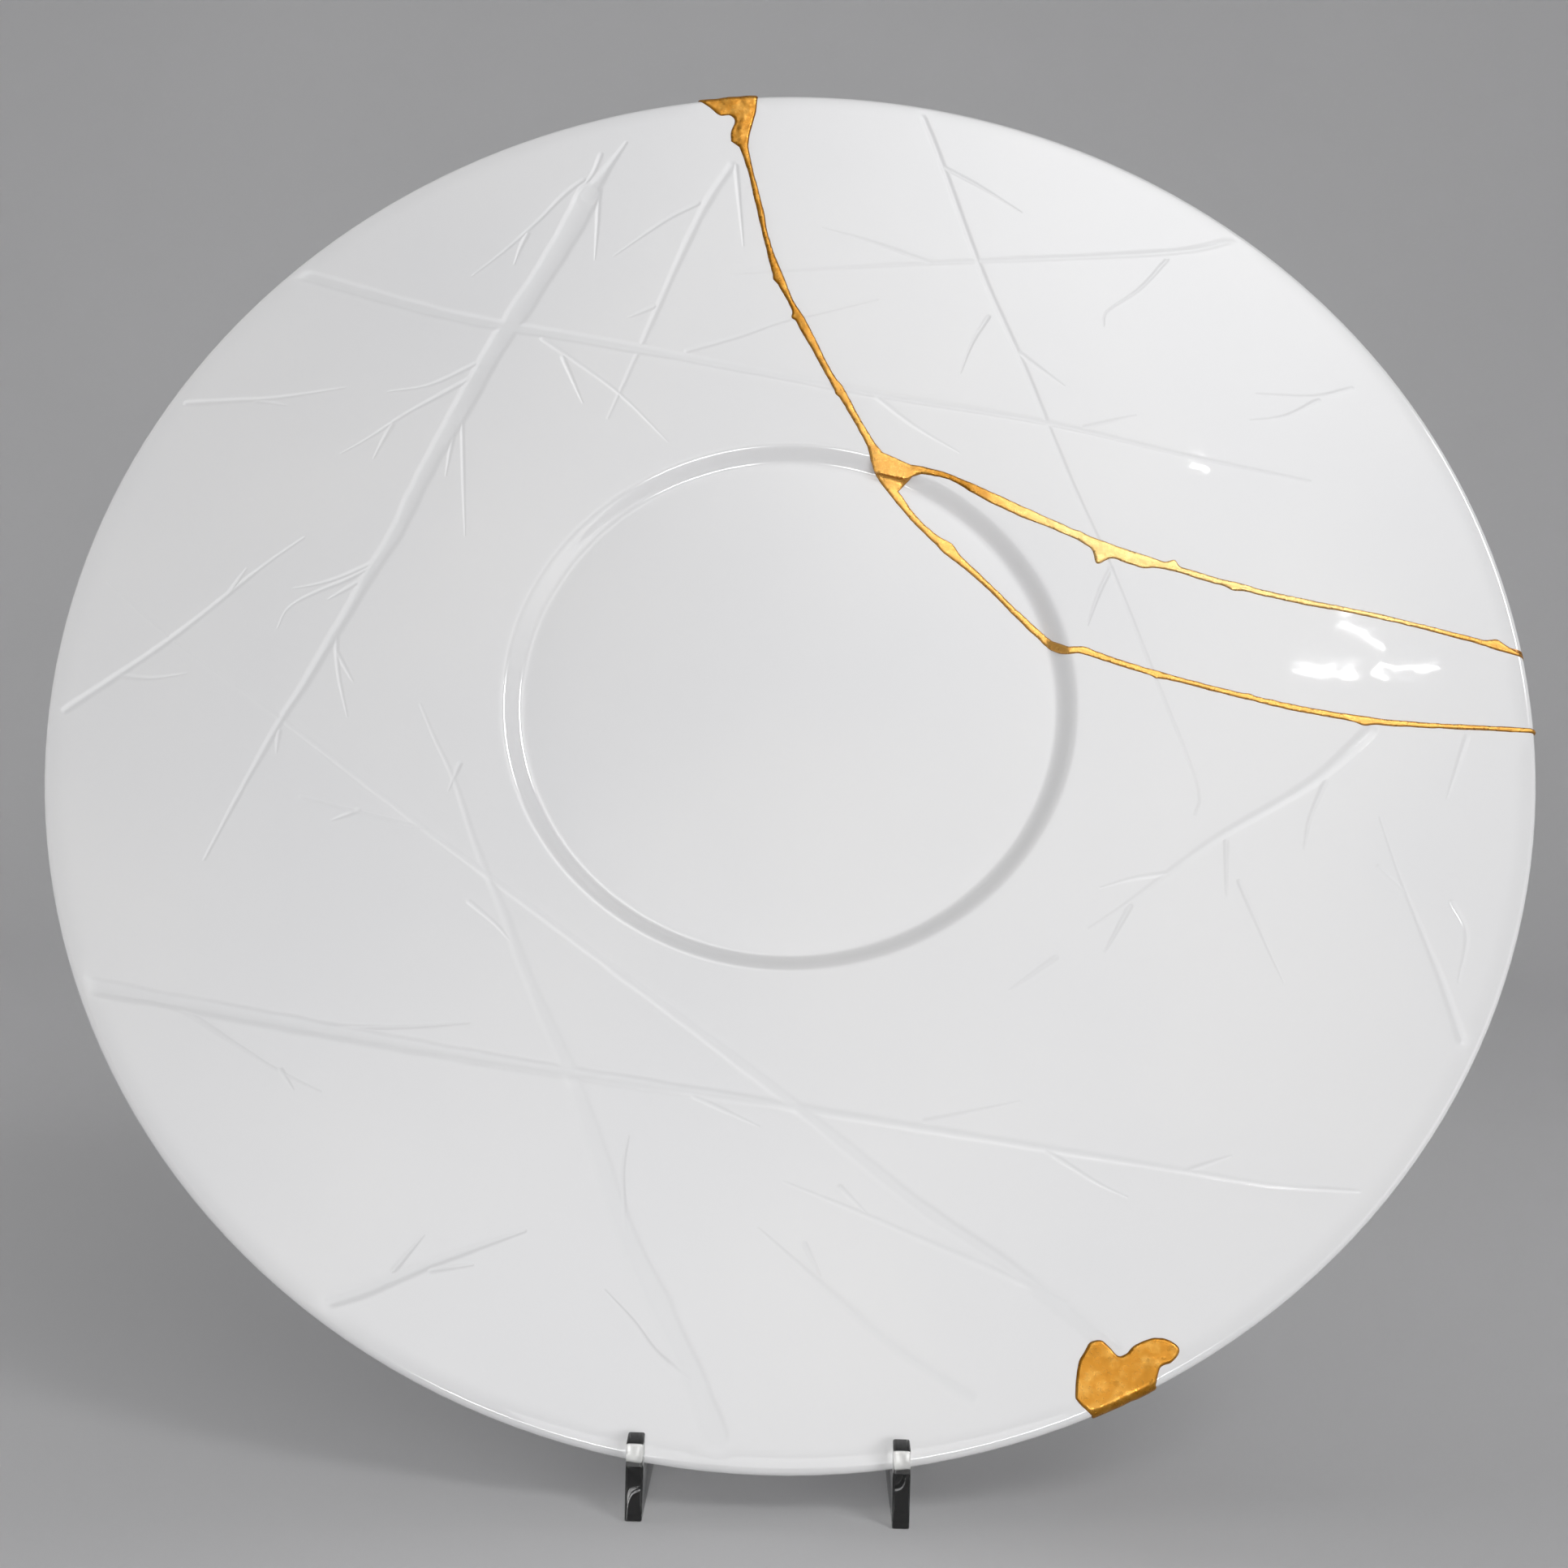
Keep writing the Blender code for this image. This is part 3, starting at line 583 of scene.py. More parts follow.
def groove_depth(places, lines):
    """How deep the engraving is at each place. Wide grooves have a flat floor between sloping
    sides, and where twigs cross, the grooves run together. They fade out at the rim."""
    depth = np.zeros(len(places))
    for route, half, deep in lines:
        distance, width = reach_of_line(route, half, places, half.max())
        inside = distance < width
        run = np.minimum(width[inside], GROOVE_SIDE)
        share = np.clip((width[inside] - distance[inside]) / run, 0.0, 1.0)
        cut = np.zeros(len(places))
        cut[inside] = 2 * run * GROOVE_DEPTH_SHARE * deep * smooth_step(share)
        depth = (depth ** 4 + cut ** 4) ** 0.25
    to_rim = EDGE_RADIUS - from_middle(places)
    return depth * smooth_step(np.clip((to_rim - PLAIN_RIM) / RIM_FADE, 0.0, 1.0))


def loop_round(route, offset):
    """Closed line round a route, as far from it as offset says at each point, with round ends."""
    across = np.array([out[:] for out in side_normals([Vector(point) for point in route])])
    ahead = np.column_stack((across[:, 1], -across[:, 0]))
    turns = np.radians([[30.0], [60.0], [90.0], [120.0], [150.0]])
    tip = route[-1] + offset[-1] * (np.cos(turns) * across[-1] + np.sin(turns) * ahead[-1])
    root = route[0] - offset[0] * (np.cos(turns) * across[0] + np.sin(turns) * ahead[0])
    left = route + across * offset[:, None]
    right = route - across * offset[:, None]
    return np.concatenate((left, tip, right[::-1], root))


def face_net(lines):
    """Flat net of triangles over the engraved part of the face, with edges along each groove."""
    rings = []
    for radius in evenly(ENGRAVED_FROM, EDGE_RADIUS, FACE_RING_PITCH) + [EDGE_RADIUS]:
        turns = 2 * math.pi * np.arange(TURN_STEPS) / TURN_STEPS
        rings.append(radius * np.column_stack((np.cos(turns), np.sin(turns))))
    spots = np.concatenate(rings[1:-1])
    for route, half, _ in lines:
        distance, width = reach_of_line(route, half, spots, half.max() + GROOVE_CLEAR)
        spots = spots[distance > width + GROOVE_CLEAR]
    parts = [rings[0], rings[-1], spots]
    count = sum(len(part) for part in parts)
    edges = [(i, (i + 1) % TURN_STEPS) for i in range(TURN_STEPS)]
    for route, half, _ in lines:
        run = np.minimum(half, GROOVE_SIDE)
        offsets = [half + GROOVE_MARGIN]
        offsets += [half - run * lane / GROOVE_LANES for lane in range(GROOVE_LANES + 1)]
        for offset in offsets:
            loop = loop_round(route, offset)
            loop = loop[from_middle(loop) < EDGE_RADIUS - PLAIN_RIM]
            steps = np.linalg.norm(loop - np.roll(loop, -1, axis=0), axis=1)
            for i in np.nonzero((steps > SAME_CORNER / 2) & (steps < LONGEST_STEP))[0]:
                edges.append((count + int(i), count + (int(i) + 1) % len(loop)))
            parts.append(loop)
            count += len(loop)
    flat = [Vector(place) for place in np.concatenate(parts) * 1000]
    net = delaunay_2d_cdt(flat, edges, [], 0, SAME_KNOT * 1000)
    places = np.array([place[:] for place in net[0]]) / 1000
    outside = from_middle(places) > ENGRAVED_FROM + SAME_CORNER / 2
    return places, [corners for corners in net[2] if outside[list(corners)].any()]


def engraved_plate():
    """The whole plate, spun round its axis, with the flange of its face engraved."""
    work = turned(plate_section(0.0, EDGE_RADIUS), TURN_STEPS)
    # Painted shade in the grooves, partly gathered glaze: each corner's share of the full groove depth
    groove_shade_layer = work.verts.layers.float.new("groove_shade_and_glaze")
    flange = [face for face in work.faces if face.normal.z > 0.5
              and ENGRAVED_FROM < face.calc_center_median().xy.length < EDGE_RADIUS]
    bmesh.ops.delete(work, geom=flange, context="FACES")
    lines = groove_lines()
    places, triangles = face_net(lines)
    depth = groove_depth(places, lines)
    height = front_height(from_middle(places)) - depth
    knots = []
    for place, level, sunk in zip(places, height, depth):
        knot = work.verts.new((place[0], place[1], level))
        knot[groove_shade_layer] = min(sunk / DEEP_GROOVE, 1.0)
        knots.append(knot)
    for corners in triangles:
        work.faces.new([knots[corner] for corner in corners])
    merge(work, 2 * SAME_PLACE)
    face_out(work)
    return mesh_object("porcelain_large_shard", work)


def side_normals(points):
    """Unit vectors to the left of a flat line, one at each of its points."""
    normals = []
    last = len(points) - 1
    for i in range(len(points)):
        along = (points[min(i + 1, last)] - points[max(i - 1, 0)]).normalized()
        normals.append(Vector((-along.y, along.x)))
    return normals


def nodule_width(point):
    """How far the drops of gold near a point push the edge of the seam out."""
    extra = 0.0
    for x, y, size, length in NODULES:
        away = math.hypot(1000 * point.x - x, 1000 * point.y - y) / length
        extra = max(extra, size * math.exp(-away * away))
    return extra / 1000


def ragged_edge(points, normals, seed, ragged):
    """An edge of laid gold, uneven as a brush leaves it."""
    if not ragged:
        return points
    edge = []
    for point, out in zip(points, normals):
        slow, quick = (unevenness(point, wave, seed + shift) for wave, shift in zip(EDGE_WAVES, (0, 9)))
        wander = 0.7 * slow + 0.5 * quick
        edge.append(point + out * (RAGGED * wander + nodule_width(point)))
    return edge


def seam_edges(seam, widen, ragged):
    """Left and right edges of a seam, from its first point to its last."""
    route = smooth_route(seam, SEAM_PITCH)
    middle = [Vector(point[:2]) for point in route]
    normals = side_normals(middle)
    left = [point + out * (knot.z + widen) for point, knot, out in zip(middle, route, normals)]
    right = [point - out * (knot.z + widen) for point, knot, out in zip(middle, route, normals)]
    inward = [-out for out in normals]
    return ragged_edge(left, normals, 1.5, ragged), ragged_edge(right, inward, 4.5, ragged)


def patch_edge(points, outward_side, widen, ragged):
    """A smooth edge through the given points, moved out to one side of them by widen."""
    route = smooth_route(points, SEAM_PITCH)
    normals = [out * outward_side for out in side_normals(route)]
    moved = [point + out * widen for point, out in zip(route, normals)]
    if not ragged:
        return moved
    return [point + out * (0.5 * RAGGED * unevenness(point, PATCH_WAVE, 2.5))
            for point, out in zip(moved, normals)]


def out_to(edge, reach):
    """Carries the end of an edge straight on until it is reach from the plate's middle."""
    along = (edge[-1] - edge[-8]).normalized()
    run = reach - edge[-1].length
    return edge + [edge[-1] + along * (run * share) for share in (0.25, 0.5, 0.75, 1.0)]


def pushed_out(point, reach):
    return point.normalized() * reach


def rim_arc(start, end, reach):
    """Points from one direction to another at a distance from the middle, without the ends."""
    steps = max(1, round((end - start).length / GOLD_CELL))
    return [pushed_out(start.lerp(end, step / steps), reach) for step in range(1, steps)]


def joint_outline(widen, ragged, reach):
    """Outline of all the gold that holds the shards, once round, seen from the face."""
    down_left, down_right = seam_edges(SEAM_DOWN, widen, ragged)
    upper_left, upper_right = seam_edges(SEAM_UPPER, widen, ragged)
    lower_left, lower_right = seam_edges(SEAM_LOWER, widen, ragged)
    fill_left = patch_edge(RIM_FILL_LEFT, -1, widen, ragged)
    fill_right = patch_edge(RIM_FILL_RIGHT, 1, widen, ragged)
    outline = [pushed_out(fill_left[0], reach)] + fill_left + down_right[3:-2]
    outline += patch_edge(PATCH_LEFT, -1, widen, ragged) + out_to(lower_right[2:], reach)
    outline += out_to(lower_left[2:], reach)[::-1]
    outline += patch_edge(PATCH_SLIVER, -1, widen, ragged)
    outline += out_to(upper_right[2:], reach) + out_to(upper_left[2:], reach)[::-1]
    outline += patch_edge(PATCH_TOP, 1, widen, ragged)[::-1]
    outline += down_left[3:-2][::-1] + fill_right[::-1]
    outline.append(pushed_out(fill_right[0], reach))
    return outline + rim_arc(outline[-1], outline[0], reach)


def chip_outline(widen, ragged, reach):
    edge = patch_edge(CHIP_EDGE, -1, -widen, ragged)
    outline = [pushed_out(edge[0], reach)] + edge + [pushed_out(edge[-1], reach)]
    return outline + rim_arc(outline[-1], outline[0], reach)


def flat_face(outline):
    """One flat face with the given outline."""
    work = bmesh.new()
    work.faces.new([work.verts.new((point.x, point.y, 0.0)) for point in outline])
    merge(work, SAME_CORNER)
    return work


def prism(name, outline):
    """The outline as a tall closed body through the plate."""
    work = flat_face(outline)
    bmesh.ops.triangulate(work, faces=work.faces[:])
    extrude_all(work, (0, 0, 2 * CUTTER_HALF_HEIGHT))
    bmesh.ops.translate(work, verts=work.verts[:], vec=(0, 0, -CUTTER_HALF_HEIGHT))
    face_out(work)
    return mesh_object(name, work)


def gold_sheet(outline):
    """A flat sheet of small even triangles that fills the outline."""
    work = flat_face(outline)
    bmesh.ops.triangulate(work, faces=work.faces[:])
    for _ in range(GOLD_PASSES):
        long = [edge for edge in work.edges if edge.calc_length() > 1.5 * GOLD_CELL]
        if not long:
            break
        bmesh.ops.subdivide_edges(work, edges=long, cuts=1, use_single_edge=True)
        bmesh.ops.triangulate(work, faces=[face for face in work.faces if len(face.verts) > 3])
        bmesh.ops.beautify_fill(work, faces=work.faces[:], edges=work.edges[:])
        inner = [vert for vert in work.verts if not vert.is_boundary]
        bmesh.ops.smooth_vert(work, verts=inner, factor=0.5, use_axis_x=True, use_axis_y=True)
    return work


def filled_step(places):
    """How much the gold adds at each place to fill the step of the well under the patch."""
    reach = from_middle(places)
    ramp = LIP_TOP - (LIP_RADIUS + 0.0008 - reach) * math.tan(PATCH_SLOPE)
    start, end = np.array(PATCH_RIDGE) / 1000
    along = (end - start) / np.linalg.norm(end - start)
    above = (places - start) @ np.array((-along[1], along[0]))
    full = smooth_step(np.clip(0.5 + above / PATCH_DROP, 0.0, 1.0))
    return np.clip(ramp - front_height(reach), 0.0, None) * (reach < LIP_RADIUS) * full


def laid_gold(name, outline):
    """Gold laid on the face: a low bead with soft edges that follows the plate and its rim."""
    work = gold_sheet(outline)
    inward = work.verts.layers.float.new("inward")
    rim = [vert.co.copy() for vert in work.verts if vert.is_boundary]
    tree = KDTree(len(rim))
    for i, place in enumerate(rim):
        tree.insert(place, i)
    tree.balance()
    for vert in work.verts:
        vert[inward] = 0.0 if vert.is_boundary else tree.find(vert.co)[2]
    top = work.verts[:]
    bedded = extrude_all(work, (0, 0, 0))
    places = np.array([vert.co[:2] for vert in top])
    inset = np.array([vert[inward] for vert in top])
    dome = np.sqrt(1.0 - (1.0 - np.clip(inset / BEAD_ROUND, 0.0, 1.0)) ** 2)
    swell = smooth_step(np.clip(inset / SWELL_REACH, 0.0, 1.0))
    broad = np.array([unevenness(place, TOP_WAVES[0], 3.5) for place in places])
    lumps = np.array([unevenness(place, TOP_WAVES[1], 6.5) for place in places])
    height = BEAD_HEIGHT * (1.0 + 0.35 * broad + 0.2 * lumps)
    lift = GOLD_FOOT + height * dome + BEAD_SWELL * swell * (1.0 + broad) + filled_step(places) * dome
    for vert, place in zip(top, over_face(places, lift)):
        vert.co = place
    places = np.array([vert.co[:2] for vert in bedded])
    for vert, place in zip(bedded, over_face(places, np.full(len(places), -GOLD_BEDDING))):
        vert.co = place
    face_out(work)
    if work.calc_volume(signed=True) < 0.0:
        bmesh.ops.reverse_faces(work, faces=work.faces[:])
    return mesh_object(name, work)


def gold_core(name, outline):
    """The gold through the plate's thickness, a little proud of both its faces."""
    core = mesh_object(name, turned(plate_section(CORE_PROUD, FACE_RING_PITCH), TURN_STEPS))
    apply_boolean(core, prism(name + "_outline", outline), "INTERSECT")
    inward = core.data.attributes.new("inward", "FLOAT", "POINT")
    inward.data.foreach_set("value", [BEAD_ROUND] * len(core.data.vertices))
    return core


def gold_piece(name, outline_of, node, material):
    gold = laid_gold(name, outline_of(0.0, True, ROUND_RIM_REACH))
    core = gold_core(name + "_core", outline_of(-CORE_INSET, False, PLATE_RADIUS + PAST_RIM))
    apply_boolean(gold, core, "UNION")
    gold.data.transform(PLATE_PLACE)
    finish_piece(gold, 50, material, "gold", node)


def shards(material):
    """The plate, engraved and broken along the gold, as its three shards."""
    plate = engraved_plate()
    reach = PLATE_RADIUS + PAST_RIM
    apply_boolean(plate, prism("seam_slot", joint_outline(-SLOT_INSET, False, reach)), "DIFFERENCE")
    apply_boolean(plate, prism("chip_slot", chip_outline(-SLOT_INSET, False, reach)), "DIFFERENCE")
    bpy.ops.object.select_all(action="DESELECT")
    plate.select_set(True)
    bpy.context.view_layer.objects.active = plate
    bpy.ops.mesh.separate(type="LOOSE")
    parts = sorted(bpy.context.selected_objects, key=lambda part: part.dimensions.x * part.dimensions.y)
    sliver, upper, large = parts[-3:]
    for shard, name, node in ((sliver, "porcelain_sliver_shard", "plate_sliver_shard"),
                              (upper, "porcelain_upper_shard", "plate_upper_shard"),
                              (large, "porcelain_large_shard", "plate_main_shard")):
        shard.name = name
        shard.data.transform(PLATE_PLACE)
        finish_piece(shard, 40, material, "porcelain", node)


def arc(centre, radius, start, end, steps):
    points = []
    for step in range(steps + 1):
        angle = math.radians(start + (end - start) * step / steps)
        points.append(centre + Vector((math.cos(angle), math.sin(angle))) * radius)
    return points


def easel_outline(foot_front, foot_back):
    """Outline of one side of the easel, as (y, z): foot, front hook and sloping back."""
    hook_back = foot_front + HOOK_DEPTH
    up = Vector((math.sin(LEAN), math.cos(LEAN)))
    behind = Vector((math.cos(LEAN), -math.sin(LEAN)))
    middle = Vector(PLATE_PLACE.translation.yz)
    top_front = middle + up * BACK_REACH + behind * JOINT_GAP
    ledge_end = top_front - up * ((top_front.y - LEDGE_HEIGHT) / up.y)
    tip_middle = top_front + behind * (BACK_WIDTH_TOP / 2)
    low_back = ledge_end + behind * (BACK_WIDTH_LOW / math.cos(LEAN))
    slope = (tip_middle + behind * (BACK_WIDTH_TOP / 2) - low_back).normalized()
    gusset_start = low_back + slope * (GUSSET_RADIUS - (low_back.y - LEDGE_HEIGHT) / slope.y)
    gusset_end = Vector((gusset_start.x - slope.x * GUSSET_RADIUS + GUSSET_RADIUS, LEDGE_HEIGHT))
    gusset_corner = gusset_start - slope * GUSSET_RADIUS
    tip_turn = math.degrees(math.atan2(behind.y, behind.x))
    outline = [Vector((foot_back, 0.0)), Vector((foot_front, 0.0))]
    outline += [Vector((foot_front, HOOK_HEIGHT - HOOK_SLANT)), Vector((hook_back, HOOK_HEIGHT))]
    outline += [Vector((hook_back, LEDGE_HEIGHT)), ledge_end]
    outline += arc(tip_middle, BACK_WIDTH_TOP / 2, tip_turn + 180, tip_turn, 2 * CORNER_STEPS)
    outline += corner_curve(gusset_start, gusset_corner, gusset_end, CORNER_STEPS)
    outline.append(Vector((foot_back, LEDGE_HEIGHT)))
    return outline


def easel_side(name, node, material):
    """One side, cut from clear sheet, with its edges polished round."""
    low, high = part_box(node)
    work = bmesh.new()
    outline = easel_outline(low.y, high.y)
    work.faces.new([work.verts.new((low.x, point.x, point.y)) for point in outline])
    merge(work, SAME_CORNER)
    extrude_all(work, (high.x - low.x, 0, 0))
    face_out(work)
    round_edges(work, [edge for edge in work.edges if edge.calc_face_angle() > math.radians(50)])
    finish_piece(mesh_object(name, work), 32, material, "acrylic", node)


def easel_bar(name, node, turn, material):
    """A clear bar between the sides, in the place of its node."""
    low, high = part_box(node)
    work = bmesh.new()
    bmesh.ops.create_cube(work, size=1.0)
    bmesh.ops.scale(work, verts=work.verts[:], vec=(high.x - low.x, BAR_DEPTH, BAR_THICKNESS))
    round_edges(work, work.edges[:])
    bmesh.ops.rotate(work, verts=work.verts[:], cent=(0, 0, 0), matrix=Matrix.Rotation(turn, 3, "X"))
    bmesh.ops.translate(work, verts=work.verts[:], vec=(low + high) / 2)
    finish_piece(mesh_object(name, work), 32, material, "acrylic", node)


def give(tree, node, inputs):
    """Gives each named input of a node its value, or the socket that feeds it."""
    for name, given in inputs.items():
        if isinstance(given, bpy.types.NodeSocket):
            tree.links.new(given, node.inputs[name])
        else:
            node.inputs[name].default_value = given


def add_node(tree, kind, inputs, **settings):
    """Outputs of a new node with the given settings and inputs."""
    node = tree.nodes.new("ShaderNode" + kind)
    for name, setting in settings.items():
        setattr(node, name, setting)
    give(tree, node, inputs)
    return node.outputs


def noise_texture(tree, place, scale, detail):
    return add_node(tree, "TexNoise", {"Vector": place, "Scale": scale, "Detail": detail})["Fac"]


def map_range(tree, value, from_low, from_high, to_low, to_high):
    return add_node(tree, "MapRange", {"Value": value, "From Min": from_low, "From Max": from_high,
                                       "To Min": to_low, "To Max": to_high})["Result"]


def maths(tree, operation, first, second):
    """A sum, product or the like of two sockets or numbers."""
    return add_node(tree, "Math", {0: first, 1: second}, operation=operation)["Value"]


def near(tree, place, centre, full, none):
    """One within the distance full of a centre, fading out to nothing at the distance none."""
    away = add_node(tree, "VectorMath", {0: place, 1: centre}, operation="DISTANCE")["Value"]
    return map_range(tree, away, full, none, 1.0, 0.0)


def mix_colour(tree, factor, first, second):
    """A mix of two colours, each given as a tuple or as the socket that makes it."""
    first, second = ((*colour, 1.0) if isinstance(colour, tuple) else colour
                     for colour in (first, second))
    return add_node(tree, "Mix", {"Factor": factor, "A": first, "B": second}, data_type="RGBA")["Result"]


def attribute(tree, name):
    return add_node(tree, "Attribute", {}, attribute_name=name)["Fac"]


def bumps(tree, height, strength, distance):
    inputs = {"Height": height, "Strength": strength, "Distance": distance}
    return add_node(tree, "Bump", inputs)["Normal"]


def plate_coordinates(tree):
    """Object coordinates turned back into the plate's own frame."""
    inputs = {"Vector": add_node(tree, "TexCoord", {})["Object"],
              "Location": PLATE_PLACE.translation, "Rotation": PLATE_PLACE.to_euler("XYZ")}
    return add_node(tree, "Mapping", inputs, vector_type="TEXTURE")["Vector"]


def uneven_polish_group():
    """Shine that varies softly over a surface, and a fine bump to go with it."""
    group = bpy.data.node_groups.new("uneven_polish", "ShaderNodeTree")
    group.interface.new_socket("Place", in_out="INPUT", socket_type="NodeSocketVector")
    for name in ("Fineness", "Smoothest", "Roughest"):
        group.interface.new_socket(name, in_out="INPUT", socket_type="NodeSocketFloat")
    for name in ("Roughness", "Height"):
        group.interface.new_socket(name, in_out="OUTPUT", socket_type="NodeSocketFloat")
    given = group.nodes.new("NodeGroupInput").outputs
    cloud = noise_texture(group, given["Place"], given["Fineness"], 4.0)
    shine = map_range(group, cloud, 0.3, 0.7, given["Smoothest"], given["Roughest"])
    give(group, group.nodes.new("NodeGroupOutput"), {"Roughness": shine, "Height": cloud})
    return group


def add_polish(tree, place, group, fineness, smoothest, roughest):
    inputs = {"Place": place, "Fineness": fineness, "Smoothest": smoothest, "Roughest": roughest}
    return add_node(tree, "Group", inputs, node_tree=group)


def new_material(name):
    made = bpy.data.materials.new(name)
    made.use_nodes = True
    return made, made.node_tree, made.node_tree.nodes["Principled BSDF"]


def glazed_porcelain(polish_group):
    """Clear glaze over white porcelain: a few pinholes, painted shade in the grooves and a bare foot."""
    made, tree, shader = new_material("glazed_porcelain")
    place = plate_coordinates(tree)
    cloud = map_range(tree, noise_texture(tree, place, 14.0, 2.0), 0.35, 0.65, 0.0, 1.0)
    body = mix_colour(tree, cloud, COOL_WHITE, WARM_WHITE)

    pinholes = add_node(tree, "TexVoronoi", {"Vector": place, "Scale": 42.0})
    speck = map_range(tree, pinholes["Distance"], 0.008, 0.016, 1.0, 0.0)
    chosen = add_node(tree, "SeparateColor", {"Color": pinholes["Color"]})["Red"]
    rare = map_range(tree, chosen, 0.8, 0.82, 0.0, 0.55)
    speckled = mix_colour(tree, maths(tree, "MULTIPLY", speck, rare), body, PINHOLE)
    # Painted shade: greyer the deeper the groove, partly the glaze that gathers there
    groove_shade = map_range(tree, attribute(tree, "groove_shade_and_glaze"), 0.0, 1.0, 0.0, 0.3)
    glazed = mix_colour(tree, groove_shade, speckled, GROOVE_SHADE_AND_GLAZE)

    height = add_node(tree, "SeparateXYZ", {"Vector": place})["Z"]
    bare = map_range(tree, height, 0.0005, 0.0009, 1.0, 0.0)
    polish = add_polish(tree, place, polish_group, 30.0, 0.02, 0.04)
    dry = add_node(tree, "Mix", {"Factor": bare, "A": polish["Roughness"], "B": 0.75})["Result"]
    ripple = bumps(tree, noise_texture(tree, place, 160.0, 1.0), 0.25, 0.00006)
    give(tree, shader, {"Base Color": mix_colour(tree, bare, glazed, BARE_CLAY), "Roughness": dry,
                        "Normal": ripple, "IOR": 1.52})
    return made


def laid_gold_finish(polish_group):
    """Gold leaf and powder over brown lacquer, brushed out by hand, with painted reflection and painted
    edge shade.
    """
    made, tree, shader = new_material("laid_gold")
    place = plate_coordinates(tree)
    # Painted reflection: yellower near a point to the right, paler to the upper right, plain orange again
    # round a spot by the junction
    colour = ORANGE_GOLD
    for centre, full, none, shade in (((0.085, 0.035, 0.01), 0.06, 0.105, PAINTED_LIT_GOLD),
                                      ((0.108, 0.06, 0.01), 0.05, 0.062, PAINTED_GOLD_REFLECTION),
                                      ((0.037, 0.0535, 0.01), 0.006, 0.012, ORANGE_GOLD)):
        colour = mix_colour(tree, near(tree, place, centre, full, none), colour, shade)
    tone = map_range(tree, noise_texture(tree, place, 520.0, 3.0), 0.45, 0.7, 0.0, 0.25)
    gold = mix_colour(tree, tone, colour, BRIGHT_GOLD)
    fleck = map_range(tree, noise_texture(tree, place, 2600.0, 2.0), 0.58, 0.74, 0.0, 0.3)
    flecked = mix_colour(tree, fleck, gold, DARK_FLECK)
    # Lacquer with painted shade: darker brown along the gold's edges, fading within a fraction of a
    # millimetre
    edge = map_range(tree, attribute(tree, "inward"), 0.0, 0.00022, 0.65, 0.0)
    polish = add_polish(tree, place, polish_group, 900.0, 0.2, 0.44)
    give(tree, shader, {"Base Color": mix_colour(tree, edge, flecked, LACQUER_AND_EDGE_SHADE), "Metallic": 0.6,
                        "Roughness": polish["Roughness"],
                        "Normal": bumps(tree, polish["Height"], 0.5, 0.00012)})
    return made


def clear_sheet(polish_group):
    """Clear polished acrylic."""
    made, tree, shader = new_material("clear_acrylic")
    shader.inputs["Base Color"].default_value = (0.965, 0.965, 0.95, 1.0)
    shader.inputs["Roughness"].default_value = 0.02
    shader.inputs["IOR"].default_value = 1.49
    shader.inputs["Transmission Weight"].default_value = 1.0
    place = add_node(tree, "TexCoord", {})["Object"]
    polish = add_polish(tree, place, polish_group, 260.0, 0.0, 1.0)
    give(tree, shader, {"Normal": bumps(tree, polish["Height"], 0.15, 0.00003)})
    return made


def floor_finish():
    made, tree, shader = new_material("pale_floor")
    cloud = noise_texture(tree, add_node(tree, "TexCoord", {})["Object"], 3.0, 3.0)
    give(tree, shader, {"Base Color": mix_colour(tree, cloud, *FLOOR_GREYS), "Roughness": 0.8})
    return made


def pale_floor():
    """A floor that curves up behind the plate."""
    half_width, front, back, top, curve = 3.0, -1.6, 1.6, 2.6, 0.7
    profile = [Vector((front, 0.0)), Vector((back - curve, 0.0))]
    profile += arc(Vector((back - curve, curve)), curve, -90, 0, 12)[1:]
    profile.append(Vector((back, top)))
    work = bmesh.new()
    knots = [work.verts.new((-half_width, point.x, point.y)) for point in profile]
    lines = [work.edges.new(pair) for pair in zip(knots, knots[1:])]
    swept = bmesh.ops.extrude_edge_only(work, edges=lines)["geom"]
    moved = [item for item in swept if isinstance(item, bmesh.types.BMVert)]
    bmesh.ops.translate(work, verts=moved, vec=(2 * half_width, 0, 0))
    face_out(work)
    floor = mesh_object("pale_floor", work)
    floor.data.materials.append(floor_finish())
    shade_smooth(floor, 60)


def area_light(name, place, facing, width, height, power):
    """A flat light, with its height in line with the upward direction that facing carries."""
    lamp = bpy.data.lights.new(name, "AREA")
    lamp.shape = "RECTANGLE"
    lamp.size = width
    lamp.size_y = height
    lamp.energy = power
    light = bpy.data.objects.new(name, lamp)
    bpy.context.scene.collection.objects.link(light)
    light.matrix_world = Matrix.Translation(place) @ facing.to_4x4()
    return light


def direction(azimuth, elevation):
    around, up = math.radians(azimuth), math.radians(elevation)
    return Vector((math.sin(around) * math.cos(up), -math.cos(around) * math.cos(up), math.sin(up)))


def soft_lights():
    for name, azimuth, elevation, distance, width, height, power, mirrored in SOFT_LIGHTS:
        away = direction(azimuth, elevation)
        facing = away.to_track_quat("Z", "Y").to_matrix()
        light = area_light(name, LIGHT_AIM + away * distance, facing, width, height, power)
        light.visible_glossy = mirrored


def overhead_lamps():
    """Thin lamps, each turned to face the plate with its length from one end to the other."""
    for number, (start, end, thickness, glint, spread) in enumerate(LAMPS):
        start, end = Vector(start), Vector(end)
        middle = (start + end) / 2
        along = (end - start).normalized()
        mirror = PLATE_PLACE @ Vector((*glint, float(front_height(math.hypot(*glint)))))
        away = (middle - mirror).normalized()
        across = away.cross(along).normalized()
        facing = Matrix((along, across, along.cross(across))).transposed()
        length = (end - start).length
        power = LAMP_RADIANCE * math.pi * length * thickness
        lamp = area_light(f"overhead_lamp_{number}", middle, facing, length, thickness, power).data
        if spread < 90.0:
            lamp.spread = math.radians(spread)
            lamp.energy *= NARROW_BEAM_GAIN * (lamp.spread / 2) ** 2 / 3


